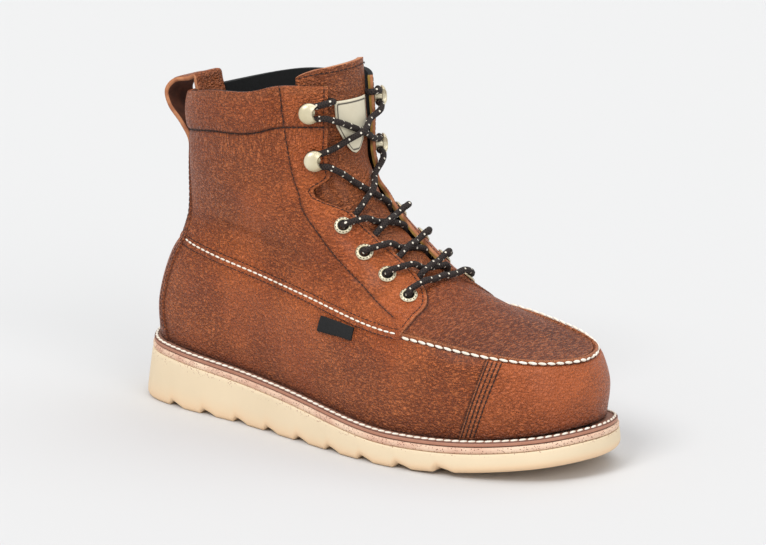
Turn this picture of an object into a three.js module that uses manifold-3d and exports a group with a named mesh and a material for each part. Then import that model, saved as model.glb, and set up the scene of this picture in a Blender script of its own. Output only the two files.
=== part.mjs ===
// A right-foot lace-up work boot on a wedge sole, in millimetres.
// X runs from heel to toe, Y to the inner side of the foot, Z up from the floor.
import * as THREE from 'three';
import { mergeVertices } from 'three/addons/utils/BufferGeometryUtils.js';
import Module from 'manifold-3d';

const wasm = await Module();
wasm.setup();

// Driving dimensions of the last and the sole
const soleLength = 308;
const ballWidth = 111;
const shaftWidth = 86;
const heelHeight = 36;
const waistHeight = 27;
const ballHeight = 18.5;
const toeHeight = 27.5;
const footRise = 84;
const shaftRise = 101;
const outerSideRise = 1.2;
const wall = 1.9;
const overlay = 0.9;
const gap = 0.3;

// Sole
const toeSpring = 10.5;
const springStart = 205;
const grooveFirst = 40;
const groovePitch = 25;
const grooveCount = 9;
const grooveWidth = 7;
const grooveDepth = 2.6;
const weltThickness = 2.6;
const weltWidth = 13;
const midsoleThickness = 3.2;
const insoleThickness = 4;
const insoleClearance = 1.2;
const edgeRound = 2.5;
const heelFlare = 3.5;

// Raised seam, throat notch, tongue and small pieces
const seamHeight = 1.5;
const notchDepth = 14.5;
const tongueThickness = 3;
const tongueUnderlap = 13;
const tongueClearance = 1.3;
const tongueDrift = 5;
const laceSag = 1.6;
const eyeletRadius = 4.9;
const eyeletBore = 1.8;
const eyeletBarrel = 2.5;
const flangeThickness = 0.8;
const hookHeadRadius = 5.8;
const hookNeckRadius = 2;
const hookBaseRadius = 4.6;
const laceRadius = 1.8;
const lacingInset = 20.8;
const lacePastEdge = 0.5;
const climbLead = 8;
const climbLength = 6;
const barClearance = 3;
const slopeRun = 0.82;
const slopeRise = 0.57;
const patchWidth = 28;
const patchThickness = 0.8;
const tagThickness = 0.8;
const loopWidth = 22;
const loopThickness = 2.4;
const loopReach = 18;
const loopDrop = 38;
const loopRise = 8;
const loopHug = 1.5;

// Half breadth of the foot: share of the length, then shares of half the ball width
const PLAN = [
  { along: 0.000, outer: 0.00, inner: 0.00 },
  { along: 0.045, outer: 0.53, inner: 0.51 },
  { along: 0.140, outer: 0.72, inner: 0.70 },
  { along: 0.300, outer: 0.78, inner: 0.67 },
  { along: 0.450, outer: 0.90, inner: 0.71 },
  { along: 0.600, outer: 1.02, inner: 0.87 },
  { along: 0.700, outer: 1.03, inner: 0.96 },
  { along: 0.820, outer: 0.92, inner: 0.92 },
  { along: 0.920, outer: 0.67, inner: 0.79 },
  { along: 0.975, outer: 0.35, inner: 0.55 },
  { along: 1.000, outer: -0.12, inner: 0.12 },
];

// Rings of the last, a row per section from the featherline up to the collar.
// back and front are shares of the sole length. heel, waist, ball and toe are rises over the welt
// as shares of the foot's rise, and over the throat ring as shares of the shaft's rise.
// half is a share of half the ball or shaft width, heelFull and toeFull widen the two ends, oval
// blends the foot's outline into the shaft's. cap, edge and stay place the toe panel's seam, the
// throat edge and the backstay as shares of the half ring. roll lifts the outer side.
const COLUMNS = ['back', 'front', 'heel', 'waist', 'ball', 'toe', 'half', 'heelFull', 'toeFull',
  'oval', 'cap', 'edge', 'stay', 'roll'];
const RINGS = [
  ['feather', 0.026, 0.974, 0.000, 0.000, 0.000, 0.000, 0.883, 0.96, 1.00, 0.0, 0.230, 0.403, 0.117, 0.0],
  ['wall', 0.027, 0.974, 0.254, 0.222, 0.226, 0.207, 0.937, 0.94, 1.03, 0.0, 0.213, 0.374, 0.105, 0.0],
  ['rim', 0.059, 0.961, 0.584, 0.526, 0.490, 0.340, 0.928, 0.92, 1.02, 0.0, 0.192, 0.352, 0.103, 0.6],
  ['seam', 0.082, 0.956, 0.701, 0.630, 0.616, 0.407, 0.838, 0.92, 1.00, 0.0, 0.181, 0.347, 0.091, 1.0],
  ['plug', 0.086, 0.857, 0.763, 0.764, 0.728, 0.477, 0.694, 0.98, 0.95, 0.2, 0.132, 0.264, 0.088, 0.8],
  ['vamp', 0.090, 0.753, 0.816, 0.888, 0.858, 0.605, 0.608, 1.02, 0.90, 0.5, 0.081, 0.154, 0.086, 0.4],
  ['throat', 0.094, 0.659, 0.881, 0.988, 1.000, 0.762, 0.621, 1.00, 0.90, 0.8, 0.037, 0.079, 0.096, 0.0],
  ['instep', 0.101, 0.521, 0.168, 0.178, 0.238, 0.317, 0.848, 1.00, 1.00, 1.0, 0.059, 0.118, 0.115, 0.0],
  ['ankle', 0.105, 0.476, 0.277, 0.327, 0.426, 0.554, 0.894, 1.00, 1.00, 1.0, 0.071, 0.144, 0.118, 0.0],
  ['cuff', 0.109, 0.469, 0.446, 0.525, 0.644, 0.782, 0.940, 1.00, 1.00, 1.0, 0.069, 0.138, 0.114, 0.0],
  ['collar', 0.109, 0.463, 0.653, 0.752, 0.871, 1.000, 0.940, 1.00, 1.00, 1.0, 0.067, 0.129, 0.110, 0.0],
].map(([name, ...values]) => ({ name, ...Object.fromEntries(COLUMNS.map((c, i) => [c, values[i]])) }));
const ringNamed = (name) => RINGS.findIndex((ring) => ring.name === name);
const SEAM = ringNamed('seam');
const THROAT = ringNamed('throat');
const CUFF = ringNamed('cuff');
const COLLAR = ringNamed('collar');

// Where the columns of the upper meet the toe panel's seam, the throat edge and the backstay
const CAP = 0.11;
const EDGE = 0.22;
const STAY = 0.90;

// Eyelets and hooks, lowest first: station counts rings from the featherline, and set is the distance
// behind the throat edge as a share of the farthest one
const fitting = (name, station, set) => ({ name, station, inset: set * lacingInset });
const EYELETS = [
  fitting('eyelet_1', 5.08, 0.50),
  fitting('eyelet_2', 5.87, 0.91),
  fitting('eyelet_3', 6.31, 1.00),
  fitting('eyelet_4', 6.75, 0.65),
];
const HOOKS = [
  fitting('speed_hook_1', 8.22, 0.33),
  fitting('speed_hook_2', 9.37, 0.49),
];
const SIDES = [{ name: 'outer', sign: -1 }, { name: 'inner', sign: 1 }];

// Stations of the rounded notch in the throat edge, between the shaft and the lower lacing
const NOTCH = [7.06, 7.2, 7.4, 7.78];

// Stations along the foot at which every height is given: heel, waist, ball, toe
const STATIONS = [0, 0.4, 0.68, 1];

// Smooth step from 0 to 1
function ease(t) {
  const x = Math.min(Math.max(t, 0), 1);
  return x * x * (3 - 2 * x);
}

// Value at x of straight lines through the points
function along(xs, ys, x) {
  if (x <= xs[0]) return ys[0];
  for (let i = 1; i < xs.length; i += 1) {
    if (x <= xs[i]) return ys[i - 1] + (ys[i] - ys[i - 1]) * (x - xs[i - 1]) / (xs[i] - xs[i - 1]);
  }
  return ys[ys.length - 1];
}

// Slope at an end of a curve that never overshoots its points
function endSlope(h0, h1, d0, d1) {
  const slope = ((2 * h0 + h1) * d0 - h0 * d1) / (h0 + h1);
  if (slope * d0 <= 0) return 0;
  if (d0 * d1 <= 0 && Math.abs(slope) > Math.abs(3 * d0)) return 3 * d0;
  return slope;
}

// Value at x of a smooth curve through the points, with no overshoot between them
function curveAt(xs, ys, x) {
  const last = xs.length - 1;
  const h = xs.slice(1).map((v, i) => v - xs[i]);
  const d = h.map((v, i) => (ys[i + 1] - ys[i]) / v);
  const m = xs.map((v, i) => {
    if (i === 0) return endSlope(h[0], h[1], d[0], d[1]);
    if (i === last) return endSlope(h[last - 1], h[last - 2], d[last - 1], d[last - 2]);
    if (d[i - 1] * d[i] <= 0) return 0;
    const w1 = 2 * h[i] + h[i - 1];
    const w2 = h[i] + 2 * h[i - 1];
    return (w1 + w2) / (w1 / d[i - 1] + w2 / d[i]);
  });
  let i = 0;
  while (i < last - 1 && x > xs[i + 1]) i += 1;
  const t = (x - xs[i]) / h[i];
  return ys[i] * (1 + 2 * t) * (1 - t) ** 2 + h[i] * m[i] * t * (1 - t) ** 2
    + ys[i + 1] * t * t * (3 - 2 * t) + h[i] * m[i + 1] * t * t * (t - 1);
}

// Height of the welt's top, and of the sole's underside, at a place along the foot
const deckHeights = [heelHeight, waistHeight, ballHeight, toeHeight];
function deck(x) {
  return curveAt(STATIONS, deckHeights, Math.min(Math.max(x / soleLength, 0), 1));
}
function tread(x) {
  const spring = toeSpring * Math.max((x - springStart) / (soleLength - springStart), 0) ** 1.6;
  const turn = Math.round((x - grooveFirst) / groovePitch);
  const nearest = grooveFirst + groovePitch * Math.min(Math.max(turn, 0), grooveCount - 1);
  const across = Math.abs(x - nearest) / (grooveWidth / 2);
  return spring + (across < 1 ? grooveDepth * Math.sqrt(1 - across ** 2) : 0);
}

// The plan outline as one closed curve, and each side of it from toe to heel
const PLAN_STEPS = 160;
const planCurve = new THREE.CatmullRomCurve3([
  ...PLAN.map((p) => new THREE.Vector3(p.along, -p.outer, 0)),
  ...PLAN.slice(1, -1).reverse().map((p) => new THREE.Vector3(p.along, p.inner, 0)),
], true, 'catmullrom', 0.5);
const planSide = {};
for (const side of SIDES) {
  planSide[side.sign] = Array.from({ length: PLAN_STEPS + 1 }, (_, i) => {
    const t = 0.5 * (1 - i / PLAN_STEPS);
    return planCurve.getPoint(side.sign < 0 ? t : 1 - t);
  });
}

// Half breadth of the sole at a share of its length
function breadth(share, sign) {
  const points = planSide[sign].slice().reverse();
  return along(points.map((p) => p.x), points.map((p) => p.y), share);
}

// Rise of a ring over the welt at a share of its own length
function rise(index, share) {
  const ring = RINGS[index];
  const shares = [ring.heel, ring.waist, ring.ball, ring.toe];
  if (index <= THROAT) return footRise * curveAt(STATIONS, shares, share);
  return rise(THROAT, share) + shaftRise * curveAt(STATIONS, shares, share);
}

// One side of a ring, from its front centre round to its back centre
function ringSide(index, sign) {
  const ring = RINGS[index];
  const half = ring.half * (index <= THROAT ? ballWidth : shaftWidth) / 2;
  return planSide[sign].map((p, i) => {
    const turn = Math.PI * i / PLAN_STEPS;
    const ovalAlong = (1 + Math.cos(turn)) / 2;
    const ovalAcross = sign * Math.sin(turn) ** 0.92;
    const full = 1 + (ring.toeFull - 1) * ease((p.x - 0.5) / 0.5)
      + (ring.heelFull - 1) * ease((0.5 - p.x) / 0.5);
    const share = p.x * (1 - ring.oval) + ovalAlong * ring.oval;
    const across = p.y * full * (1 - ring.oval) + ovalAcross * ring.oval;
    const x = soleLength * (ring.back + (ring.front - ring.back) * share);
    const z = curveAt(STATIONS, deckHeights, share) + rise(index, share)
      - outerSideRise * ring.roll * across;
    return new THREE.Vector3(x, half * across, z + gap);
  });
}

// Rings by side, each with its running length
const rings = {};
for (const side of SIDES) {
  rings[side.sign] = RINGS.map((ring, index) => {
    const points = ringSide(index, side.sign);
    const run = [0];
    for (let i = 1; i < points.length; i += 1) run.push(run[i - 1] + points[i].distanceTo(points[i - 1]));
    return { points, run, total: run[run.length - 1] };
  });
}

// Distance round a ring at a column of the upper
function runAt(index, sign, column) {
  const { total } = rings[sign][index];
  const ring = RINGS[index];
  return along([0, CAP, EDGE, STAY, 1],
    [0, ring.cap * total, ring.edge * total, total * (1 - ring.stay), total], column);
}

// Point on a ring at a distance round it from the front centre
function ringPoint(index, sign, distance) {
  const { points, run, total } = rings[sign][index];
  const at = Math.min(Math.max(distance, 0), total);
  let i = 1;
  while (i < run.length - 1 && run[i] < at) i += 1;
  return points[i - 1].clone().lerp(points[i], (at - run[i - 1]) / (run[i] - run[i - 1]));
}

// Place on the last: station counts rings, column runs from the front centre (0) to the back
// centre (1), and inset moves it backward round the ring. The seam ring is a crease.
function place(station, sign, column, inset = 0) {
  const first = station < SEAM ? 0 : SEAM;
  const last = station < SEAM ? SEAM : COLLAR;
  const points = [];
  for (let i = first; i <= last; i += 1) points.push(ringPoint(i, sign, runAt(i, sign, column) + inset));
  const curve = new THREE.CatmullRomCurve3(points, false, 'centripetal');
  const t = (station - first) / (last - first);
  if (t <= 1) return curve.getPoint(t);
  const top = curve.getPoint(1);
  const below = curve.getPoint(1 - 0.3 / (last - first));
  return top.clone().add(top.clone().sub(below).multiplyScalar((station - COLLAR) / 0.3));
}

// Outward direction of the last at a place
function outward(station, sign, column, inset = 0) {
  const low = place(station - 0.04, sign, column, inset);
  const high = place(station + 0.04, sign, column, inset);
  const front = place(station, sign, column, inset - 1);
  const back = place(station, sign, column, inset + 1);
  const normal = back.sub(front).cross(high.sub(low)).normalize();
  return sign < 0 ? normal.negate() : normal;
}

// How far the throat edge draws back in its notch
function notch(station) {
  return along(NOTCH, [0, notchDepth, 0.93 * notchDepth, 0], station);
}

// A shell of cells between an outer and an inner sheet. Cells that keep() leaves out are open, and
// every open edge gets its rim.
function shell(rows, columns, wrap, keep, outer, inner) {
  const positions = [];
  const quad = (a, b, c, d) => {
    for (const p of [a, b, c, a, c, d]) positions.push(p.x, p.y, p.z);
  };
  const cells = wrap ? columns : columns - 1;
  const kept = (r, c) => {
    if (r < 0 || r >= rows - 1) return false;
    if (!wrap && (c < 0 || c >= cells)) return false;
    return keep(r, (c + cells) % cells);
  };
  const at = (sheet, r, c) => sheet[r][(c + columns) % columns];
  for (let r = 0; r < rows - 1; r += 1) {
    for (let c = 0; c < cells; c += 1) {
      if (!kept(r, c)) continue;
      const corners = [[r, c], [r, c + 1], [r + 1, c + 1], [r + 1, c]];
      const [oa, ob, oc, od] = corners.map(([i, j]) => at(outer, i, j));
      const [ia, ib, ic, id] = corners.map(([i, j]) => at(inner, i, j));
      quad(oa, ob, oc, od);
      quad(id, ic, ib, ia);
      if (!kept(r - 1, c)) quad(ob, oa, ia, ib);
      if (!kept(r + 1, c)) quad(od, oc, ic, id);
      if (!kept(r, c - 1)) quad(oa, od, id, ia);
      if (!kept(r, c + 1)) quad(oc, ob, ib, ic);
    }
  }
  return closed(positions);
}

// Every cell of a shell is kept
const whole = () => true;

// A body through a row of sections, each with as many points, whose two ends close to a line
function loft(sections) {
  const positions = [];
  const count = sections[0].length;
  for (let s = 0; s < sections.length - 1; s += 1) {
    for (let i = 0; i < count; i += 1) {
      const j = (i + 1) % count;
      const [a, b, c, d] = [sections[s][i], sections[s][j], sections[s + 1][j], sections[s + 1][i]];
      for (const p of [a, b, c, a, c, d]) positions.push(p.x, p.y, p.z);
    }
  }
  return closed(positions);
}

// Merges a triangle soup into one closed mesh with its faces pointing out
function closed(positions) {
  const soup = new THREE.BufferGeometry();
  soup.setAttribute('position', new THREE.Float32BufferAttribute(positions, 3));
  const merged = mergeVertices(soup, 1e-4);
  const index = merged.index.array;
  const p = merged.attributes.position;
  const triangles = [];
  for (let i = 0; i < index.length; i += 3) {
    const [a, b, c] = [index[i], index[i + 1], index[i + 2]];
    if (a !== b && b !== c && a !== c) triangles.push(a, b, c);
  }
  let volume = 0;
  const [va, vb, vc] = [new THREE.Vector3(), new THREE.Vector3(), new THREE.Vector3()];
  for (let i = 0; i < triangles.length; i += 3) {
    va.fromBufferAttribute(p, triangles[i]);
    vb.fromBufferAttribute(p, triangles[i + 1]);
    vc.fromBufferAttribute(p, triangles[i + 2]);
    volume += va.dot(vb.cross(vc));
  }
  if (volume < 0) triangles.reverse();
  merged.setIndex(triangles);
  return merged;
}

// A closed geometry as a solid for cutting and joining, and back
function toSolid(geometry) {
  const bare = geometry.clone();
  bare.deleteAttribute('normal');
  bare.deleteAttribute('uv');
  const merged = mergeVertices(bare, 1e-4);
  return new wasm.Manifold(new wasm.Mesh({
    numProp: 3,
    vertProperties: new Float32Array(merged.attributes.position.array),
    triVerts: new Uint32Array(merged.index.array),
  }));
}
function toGeometry(solid) {
  const mesh = solid.getMesh();
  const geometry = new THREE.BufferGeometry();
  const step = mesh.numProp;
  const positions = [];
  for (let i = 0; i < mesh.vertProperties.length; i += step) {
    positions.push(mesh.vertProperties[i], mesh.vertProperties[i + 1], mesh.vertProperties[i + 2]);
  }
  geometry.setAttribute('position', new THREE.Float32BufferAttribute(positions, 3));
  geometry.setIndex(Array.from(mesh.triVerts));
  return geometry;
}

// A frame on the upper's face for a round piece: its axis points out of the leather
function seat(geometry, station, sign, inset) {
  const axis = outward(station, sign, EDGE, inset);
  const turn = new THREE.Quaternion().setFromUnitVectors(new THREE.Vector3(0, 1, 0), axis);
  const point = place(station, sign, EDGE, inset).addScaledVector(axis, overlay);
  return geometry.applyMatrix4(new THREE.Matrix4().compose(point, turn, new THREE.Vector3(1, 1, 1)));
}

// Columns of the upper on one side, from the front centre to the back centre
const STEP = 0.0012;
const columnsOfSide = [0, 0.018, 0.036, 0.055, 0.073, 0.091, CAP - STEP, CAP, 0.145, 0.18, EDGE - STEP, EDGE,
  0.28, 0.35, 0.43, 0.51, 0.59, 0.67, 0.75, 0.82, STAY - STEP, STAY, 0.95, 1];
const upperColumns = [
  ...columnsOfSide.map((column) => ({ sign: -1, column })),
  ...columnsOfSide.slice(1, -1).reverse().map((column) => ({ sign: 1, column })),
];
// Rows of the upper, from the featherline to the collar
const upperRows = [0, 0.5, 1, 1.5, 2, 2.5, SEAM - 0.08, SEAM - 0.05, SEAM + 0.04, SEAM + 0.08, 3.6, 4.2, 4.8,
  5.4, THROAT, 6.6, ...NOTCH, 8.1, 8.5, CUFF - 0.05, CUFF, 9.4, 9.75, COLLAR];

// Steps in the wall: raised seam, toe panel, quarter, backstay and padded cuff
function stepOut(station, column) {
  let out = 0;
  if (station > SEAM - 0.07 && station < SEAM + 0.06) return seamHeight;
  if (station < SEAM && column < CAP) out = overlay;
  if (station > SEAM && column >= EDGE) out = overlay;
  if (column >= STAY) out = overlay;
  if (station > CUFF && station < COLLAR) out = overlay * 1.2;
  return out;
}

// The upper: one hollow solid, open at the collar, at the throat and underneath
function makeUpper() {
  const outer = [];
  const inner = [];
  for (const station of upperRows) {
    const rowOut = [];
    const rowIn = [];
    for (const { sign, column } of upperColumns) {
      const inset = column >= EDGE - STEP && column < STAY - STEP ? notch(station) : 0;
      const low = Math.min(Math.max(station, 0.05), COLLAR - 0.05);
      const normal = outward(low, sign, column, inset);
      const point = place(station, sign, column, inset);
      rowOut.push(point.clone().addScaledVector(normal, stepOut(station, column)));
      rowIn.push(point.clone().addScaledVector(normal, -wall));
    }
    outer.push(rowOut);
    inner.push(rowIn);
  }
  const open = (r, c) => {
    const next = upperColumns[(c + 1) % upperColumns.length];
    const here = upperColumns[c];
    return upperRows[r] >= THROAT && Math.max(here.column, next.column) <= EDGE;
  };
  const keep = (r, c) => !open(r, c);
  let solid = toSolid(shell(upperRows.length, upperColumns.length, true, keep, outer, inner));
  for (const eyelet of EYELETS) {
    for (const side of SIDES) {
      const drill = new THREE.CylinderGeometry(eyeletBarrel + gap, eyeletBarrel + gap, 16, 12);
      solid = solid.subtract(toSolid(seat(drill, eyelet.station, side.sign, eyelet.inset)));
    }
  }
  return toGeometry(solid);
}

// Sole stations: close together at the two round ends, and on each groove's section, so that the
// lands between the grooves are flat
function soleShares() {
  const ends = [0, 0.003, 0.012, 0.028, 0.05, 0.08, 0.86, 0.9, 0.935, 0.96, 0.978, 0.991, 0.998, 1];
  const shares = new Set(ends);
  for (let g = 0; g < grooveCount; g += 1) {
    const centre = grooveFirst + g * groovePitch;
    for (const s of [-1, -0.95, -0.7, 0, 0.7, 0.95, 1]) {
      shares.add((centre + s * grooveWidth / 2 - edgeRound) / (soleLength - 2 * edgeRound));
    }
  }
  return [...shares].sort((a, b) => a - b);
}

// Point of the sole's edge at a share of the length, drawn in from the full outline
function soleEdge(share, sign, drawn, flare) {
  const front = soleLength - drawn;
  const back = drawn + flare;
  const x = back + (front - back) * share;
  return { x, y: breadth(share, sign) * (ballWidth / 2 - drawn) };
}

// The outsole: a wedge with a flared edge, toe spring and grooves across its tread
function makeOutsole() {
  const top = (x) => deck(x) - weltThickness - midsoleThickness - 2 * gap;
  const sections = soleShares().map((share) => {
    const points = [];
    for (const sign of [-1, 1]) {
      const foot = soleEdge(share, sign, edgeRound, 0);
      const bulge = soleEdge(share, sign, 0, 0);
      const shoulder = soleEdge(share, sign, 0.8, heelFlare);
      const side = [
        new THREE.Vector3(foot.x, foot.y, tread(foot.x)),
        new THREE.Vector3(bulge.x, bulge.y, tread(foot.x) + edgeRound),
        new THREE.Vector3(shoulder.x, shoulder.y, top(shoulder.x)),
      ];
      points.push(...(sign < 0 ? side : side.reverse()));
    }
    return points;
  });
  return loft(sections);
}

// A layer of the sole that lies on the wedge, between two heights below the welt's top
function layerSections(shares, drawn, flare, upper, lower) {
  return shares.map((share) => {
    const a = soleEdge(share, -1, drawn, flare);
    const b = soleEdge(share, 1, drawn, flare);
    return [
      new THREE.Vector3(a.x, a.y, deck(a.x) - lower),
      new THREE.Vector3(a.x, a.y, deck(a.x) - upper),
      new THREE.Vector3(b.x, b.y, deck(b.x) - upper),
      new THREE.Vector3(b.x, b.y, deck(b.x) - lower),
    ];
  });
}
const layerShares = [0, 0.003, 0.012, 0.03, 0.06, 0.1, 0.16, 0.24, 0.32, 0.4, 0.48, 0.56, 0.62, 0.68, 0.74,
  0.8, 0.86, 0.9, 0.935, 0.96, 0.978, 0.991, 0.998, 1];
function makeMidsole() {
  const under = weltThickness + gap;
  return loft(layerSections(layerShares, 1, heelFlare, under, under + midsoleThickness));
}

// The welt: a strip all round the edge of the sole, seen outside the upper
function makeWelt() {
  const loop = [...layerShares.map((share) => [share, -1]),
    ...layerShares.slice(1, -1).reverse().map((share) => [share, 1])];
  const sheet = (drop) => [1.6, weltWidth].map((drawn) => loop.map(([share, sign]) => {
    const edge = soleEdge(share, sign, drawn, heelFlare);
    return new THREE.Vector3(edge.x, edge.y, deck(edge.x) - drop);
  }));
  return shell(2, loop.length, true, whole, sheet(0), sheet(weltThickness));
}

// The insole: a board that fills the upper's open underside
function makeInsole() {
  const columns = columnsOfSide.filter((column) => ![CAP, EDGE, STAY].includes(column));
  const sections = columns.map((column) => {
    const points = [];
    for (const sign of [-1, 1]) {
      const rim = place(0, sign, column);
      const normal = outward(0.05, sign, column).setZ(0).normalize();
      rim.addScaledVector(normal, -wall - insoleClearance);
      const low = new THREE.Vector3(rim.x, rim.y, deck(rim.x) + gap);
      const high = new THREE.Vector3(rim.x, rim.y, deck(rim.x) + gap + insoleThickness);
      points.push(...(sign < 0 ? [low, high] : [high, low]));
    }
    return points;
  });
  const middle = (points) => {
    const x = (points[0].x + points[3].x) / 2;
    return points.map((p) => new THREE.Vector3(x, 0, p.z));
  };
  sections[0] = middle(sections[0]);
  sections[sections.length - 1] = middle(sections[sections.length - 1]);
  return loft(sections);
}

// A place on the front of the boot by its distance from the centre line, negative to the outer side
function frontPlace(station, distance, height) {
  const sign = distance < 0 ? -1 : 1;
  const at = Math.abs(distance);
  const point = place(station, sign, 0, at);
  const inward = at < 1 ? 1.5 : at;
  const normal = outward(Math.min(station, COLLAR - 0.05), sign, 0, inward);
  if (at < 1) normal.setY(0).normalize();
  return point.addScaledVector(normal, height);
}

// Distance from the centre line to the throat edge
function throatHalf(station) {
  const whole = Math.min(station, COLLAR);
  const low = Math.floor(whole);
  const high = Math.min(low + 1, COLLAR);
  const half = (i) => runAt(i, -1, EDGE);
  return half(low) + (half(high) - half(low)) * (whole - low);
}

// The tongue: a padded sheet under the throat, from below the plug to over the collar
const tongueStations = [THROAT - 0.5, THROAT - 0.25, THROAT, 6.3, 6.6, 7, 7.4, 7.8, 8.2, 8.6, CUFF, 9.4, 9.7,
  COLLAR, COLLAR + 0.25, COLLAR + 0.5];
const tongueShares = [-1, -0.85, -0.65, -0.45, -0.22, 0, 0.22, 0.45, 0.65, 0.85, 1];
// Share of its width at which the tongue's rounded top is highest, on the inner side
const TONGUE_PEAK = 0.3;
// How far the tongue has slid to the outer side, as a worn tongue does
const drift = (station) => tongueDrift * ease((station - THROAT - 1) / 2.5);
function tonguePlace(station, share, depth) {
  const half = throatHalf(station) + tongueUnderlap;
  const side = share < TONGUE_PEAK ? share - TONGUE_PEAK : (share - TONGUE_PEAK) / (1 - TONGUE_PEAK);
  const rounded = share < TONGUE_PEAK
    ? Math.sqrt(1 - 0.9 * (side / (1 + TONGUE_PEAK)) ** 2) : Math.sqrt(1 - 0.8 * side ** 5);
  const at = station > COLLAR ? COLLAR + (station - COLLAR) * rounded : station;
  return frontPlace(at, share * half - drift(station), -wall - gap - tongueClearance - depth);
}
function makeTongue() {
  const row = (station, depth) => tongueShares.map((share) => tonguePlace(station, share, depth));
  const sheet = (depth) => tongueStations.map((station) => row(station, depth));
  return shell(tongueStations.length, tongueShares.length, false, whole, sheet(0), sheet(tongueThickness));
}

// A bare patch on the face of the tongue
function makePatch() {
  const stations = [8.2, 8.55, 8.9, 9.25, 9.58];
  const shares = [-1, -0.5, 0, 0.5, 1];
  const sheet = (height) => stations.map((station, i) => shares.map((share) => {
    const narrow = i === 0 ? 0.7 : 1;
    return frontPlace(station, share * narrow * patchWidth / 2 - drift(station), height);
  }));
  const under = -wall - tongueClearance;
  return shell(stations.length, shares.length, false, whole, sheet(under + patchThickness), sheet(under));
}

// A small bare tag sewn on the outer side below the seam, from its upper edge to its lower one
function makeTag() {
  const rows = [
    [[2.46, 56.3], [2.55, 48], [2.62, 39.5], [2.66, 31]],
    [[2.16, 56], [2.24, 47.5], [2.31, 39], [2.37, 30.3]],
    [[1.86, 55.4], [1.93, 46.7], [2, 38], [2.07, 29.4]],
  ];
  const sheet = (height) => rows.map((row) => row.map(([station, inset]) => {
    const normal = outward(station, -1, EDGE, inset);
    return place(station, -1, EDGE, inset).addScaledVector(normal, height);
  }));
  return shell(rows.length, rows[0].length, false, whole, sheet(gap + tagThickness), sheet(gap));
}

// The pull loop: a strip folded over the back of the collar, as points behind and above it
function makePullLoop() {
  const collarBack = place(COLLAR, -1, 1);
  const face = collarBack.x - overlay - gap - loopThickness / 2;
  const inside = collarBack.x + wall + gap + loopThickness / 2;
  const at = (x, reach, z) => new THREE.Vector3(x + reach * loopReach, 0, collarBack.z + z);
  const centre = new THREE.CatmullRomCurve3([
    at(face, -0.12, -loopDrop), at(face, -0.12, -0.76 * loopDrop), at(face, -0.42, -0.53 * loopDrop),
    at(face, -0.88, -0.29 * loopDrop), at(face, -1, -0.08 * loopDrop),
    at(face, -0.69, 0.44 * loopRise), at(face, -0.08, 0.79 * loopRise),
    at(inside, 0.22, loopRise), at(inside, 0.36, 0.38 * loopRise),
    at(inside, 0.14, -0.16 * loopDrop), at(inside, 0.04, -0.42 * loopDrop),
  ], false, 'centripetal');
  const steps = 18;
  const widths = [-1, -0.5, 0, 0.5, 1];
  const sheet = (height) => Array.from({ length: steps + 1 }, (_, i) => {
    const t = i / steps;
    const point = centre.getPoint(t);
    const tangent = centre.getTangent(t);
    const normal = new THREE.Vector3(-tangent.z, 0, tangent.x);
    const hug = loopHug * (1 - ease(Math.min(t, 1 - t) / 0.35));
    return widths.map((w) => {
      const p = point.clone().addScaledVector(normal, height);
      return p.add(new THREE.Vector3(hug * w * w, w * loopWidth / 2, 0));
    });
  });
  return shell(steps + 1, widths.length, false, whole, sheet(loopThickness / 2), sheet(-loopThickness / 2));
}

// A flanged eyelet with its barrel through the leather
function makeEyelet() {
  const base = 2.2 * gap;
  const profile = [
    [eyeletBore, base + flangeThickness * 0.7], [eyeletBore + 0.5, base + flangeThickness],
    [eyeletRadius - 0.6, base + flangeThickness * 0.8], [eyeletRadius, base], [eyeletBarrel, base],
    [eyeletBarrel, -wall - overlay - gap], [eyeletBore, -wall - overlay - gap],
    [eyeletBore, base + flangeThickness * 0.7],
  ].map(([r, y]) => new THREE.Vector2(r, y)).reverse();
  return new THREE.LatheGeometry(profile, 12);
}

// A speed hook: a base disc, a neck and a domed head over the lace
function makeHook() {
  const profile = [
    [0, gap], [hookBaseRadius, gap], [hookBaseRadius, gap + 0.9], [hookNeckRadius, gap + 1.1],
    [hookNeckRadius, gap + 4.6], [hookHeadRadius, gap + 4.6], [hookHeadRadius - 0.6, gap + 6],
    [hookHeadRadius * 0.55, gap + 7], [0, gap + 7.3],
  ].map(([r, y]) => new THREE.Vector2(r, y));
  return new THREE.LatheGeometry(profile, 12);
}

// Station at which the front of the boot lies a given way uphill of a point
function stationAt(distance, origin, uphill, climb) {
  let low = SEAM + 1;
  let high = COLLAR;
  for (let i = 0; i < 24; i += 1) {
    const middle = (low + high) / 2;
    const reach = frontPlace(middle, distance, 0).sub(origin).dot(uphill);
    if (reach < climb) low = middle;
    else high = middle;
  }
  return (low + high) / 2;
}

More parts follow.
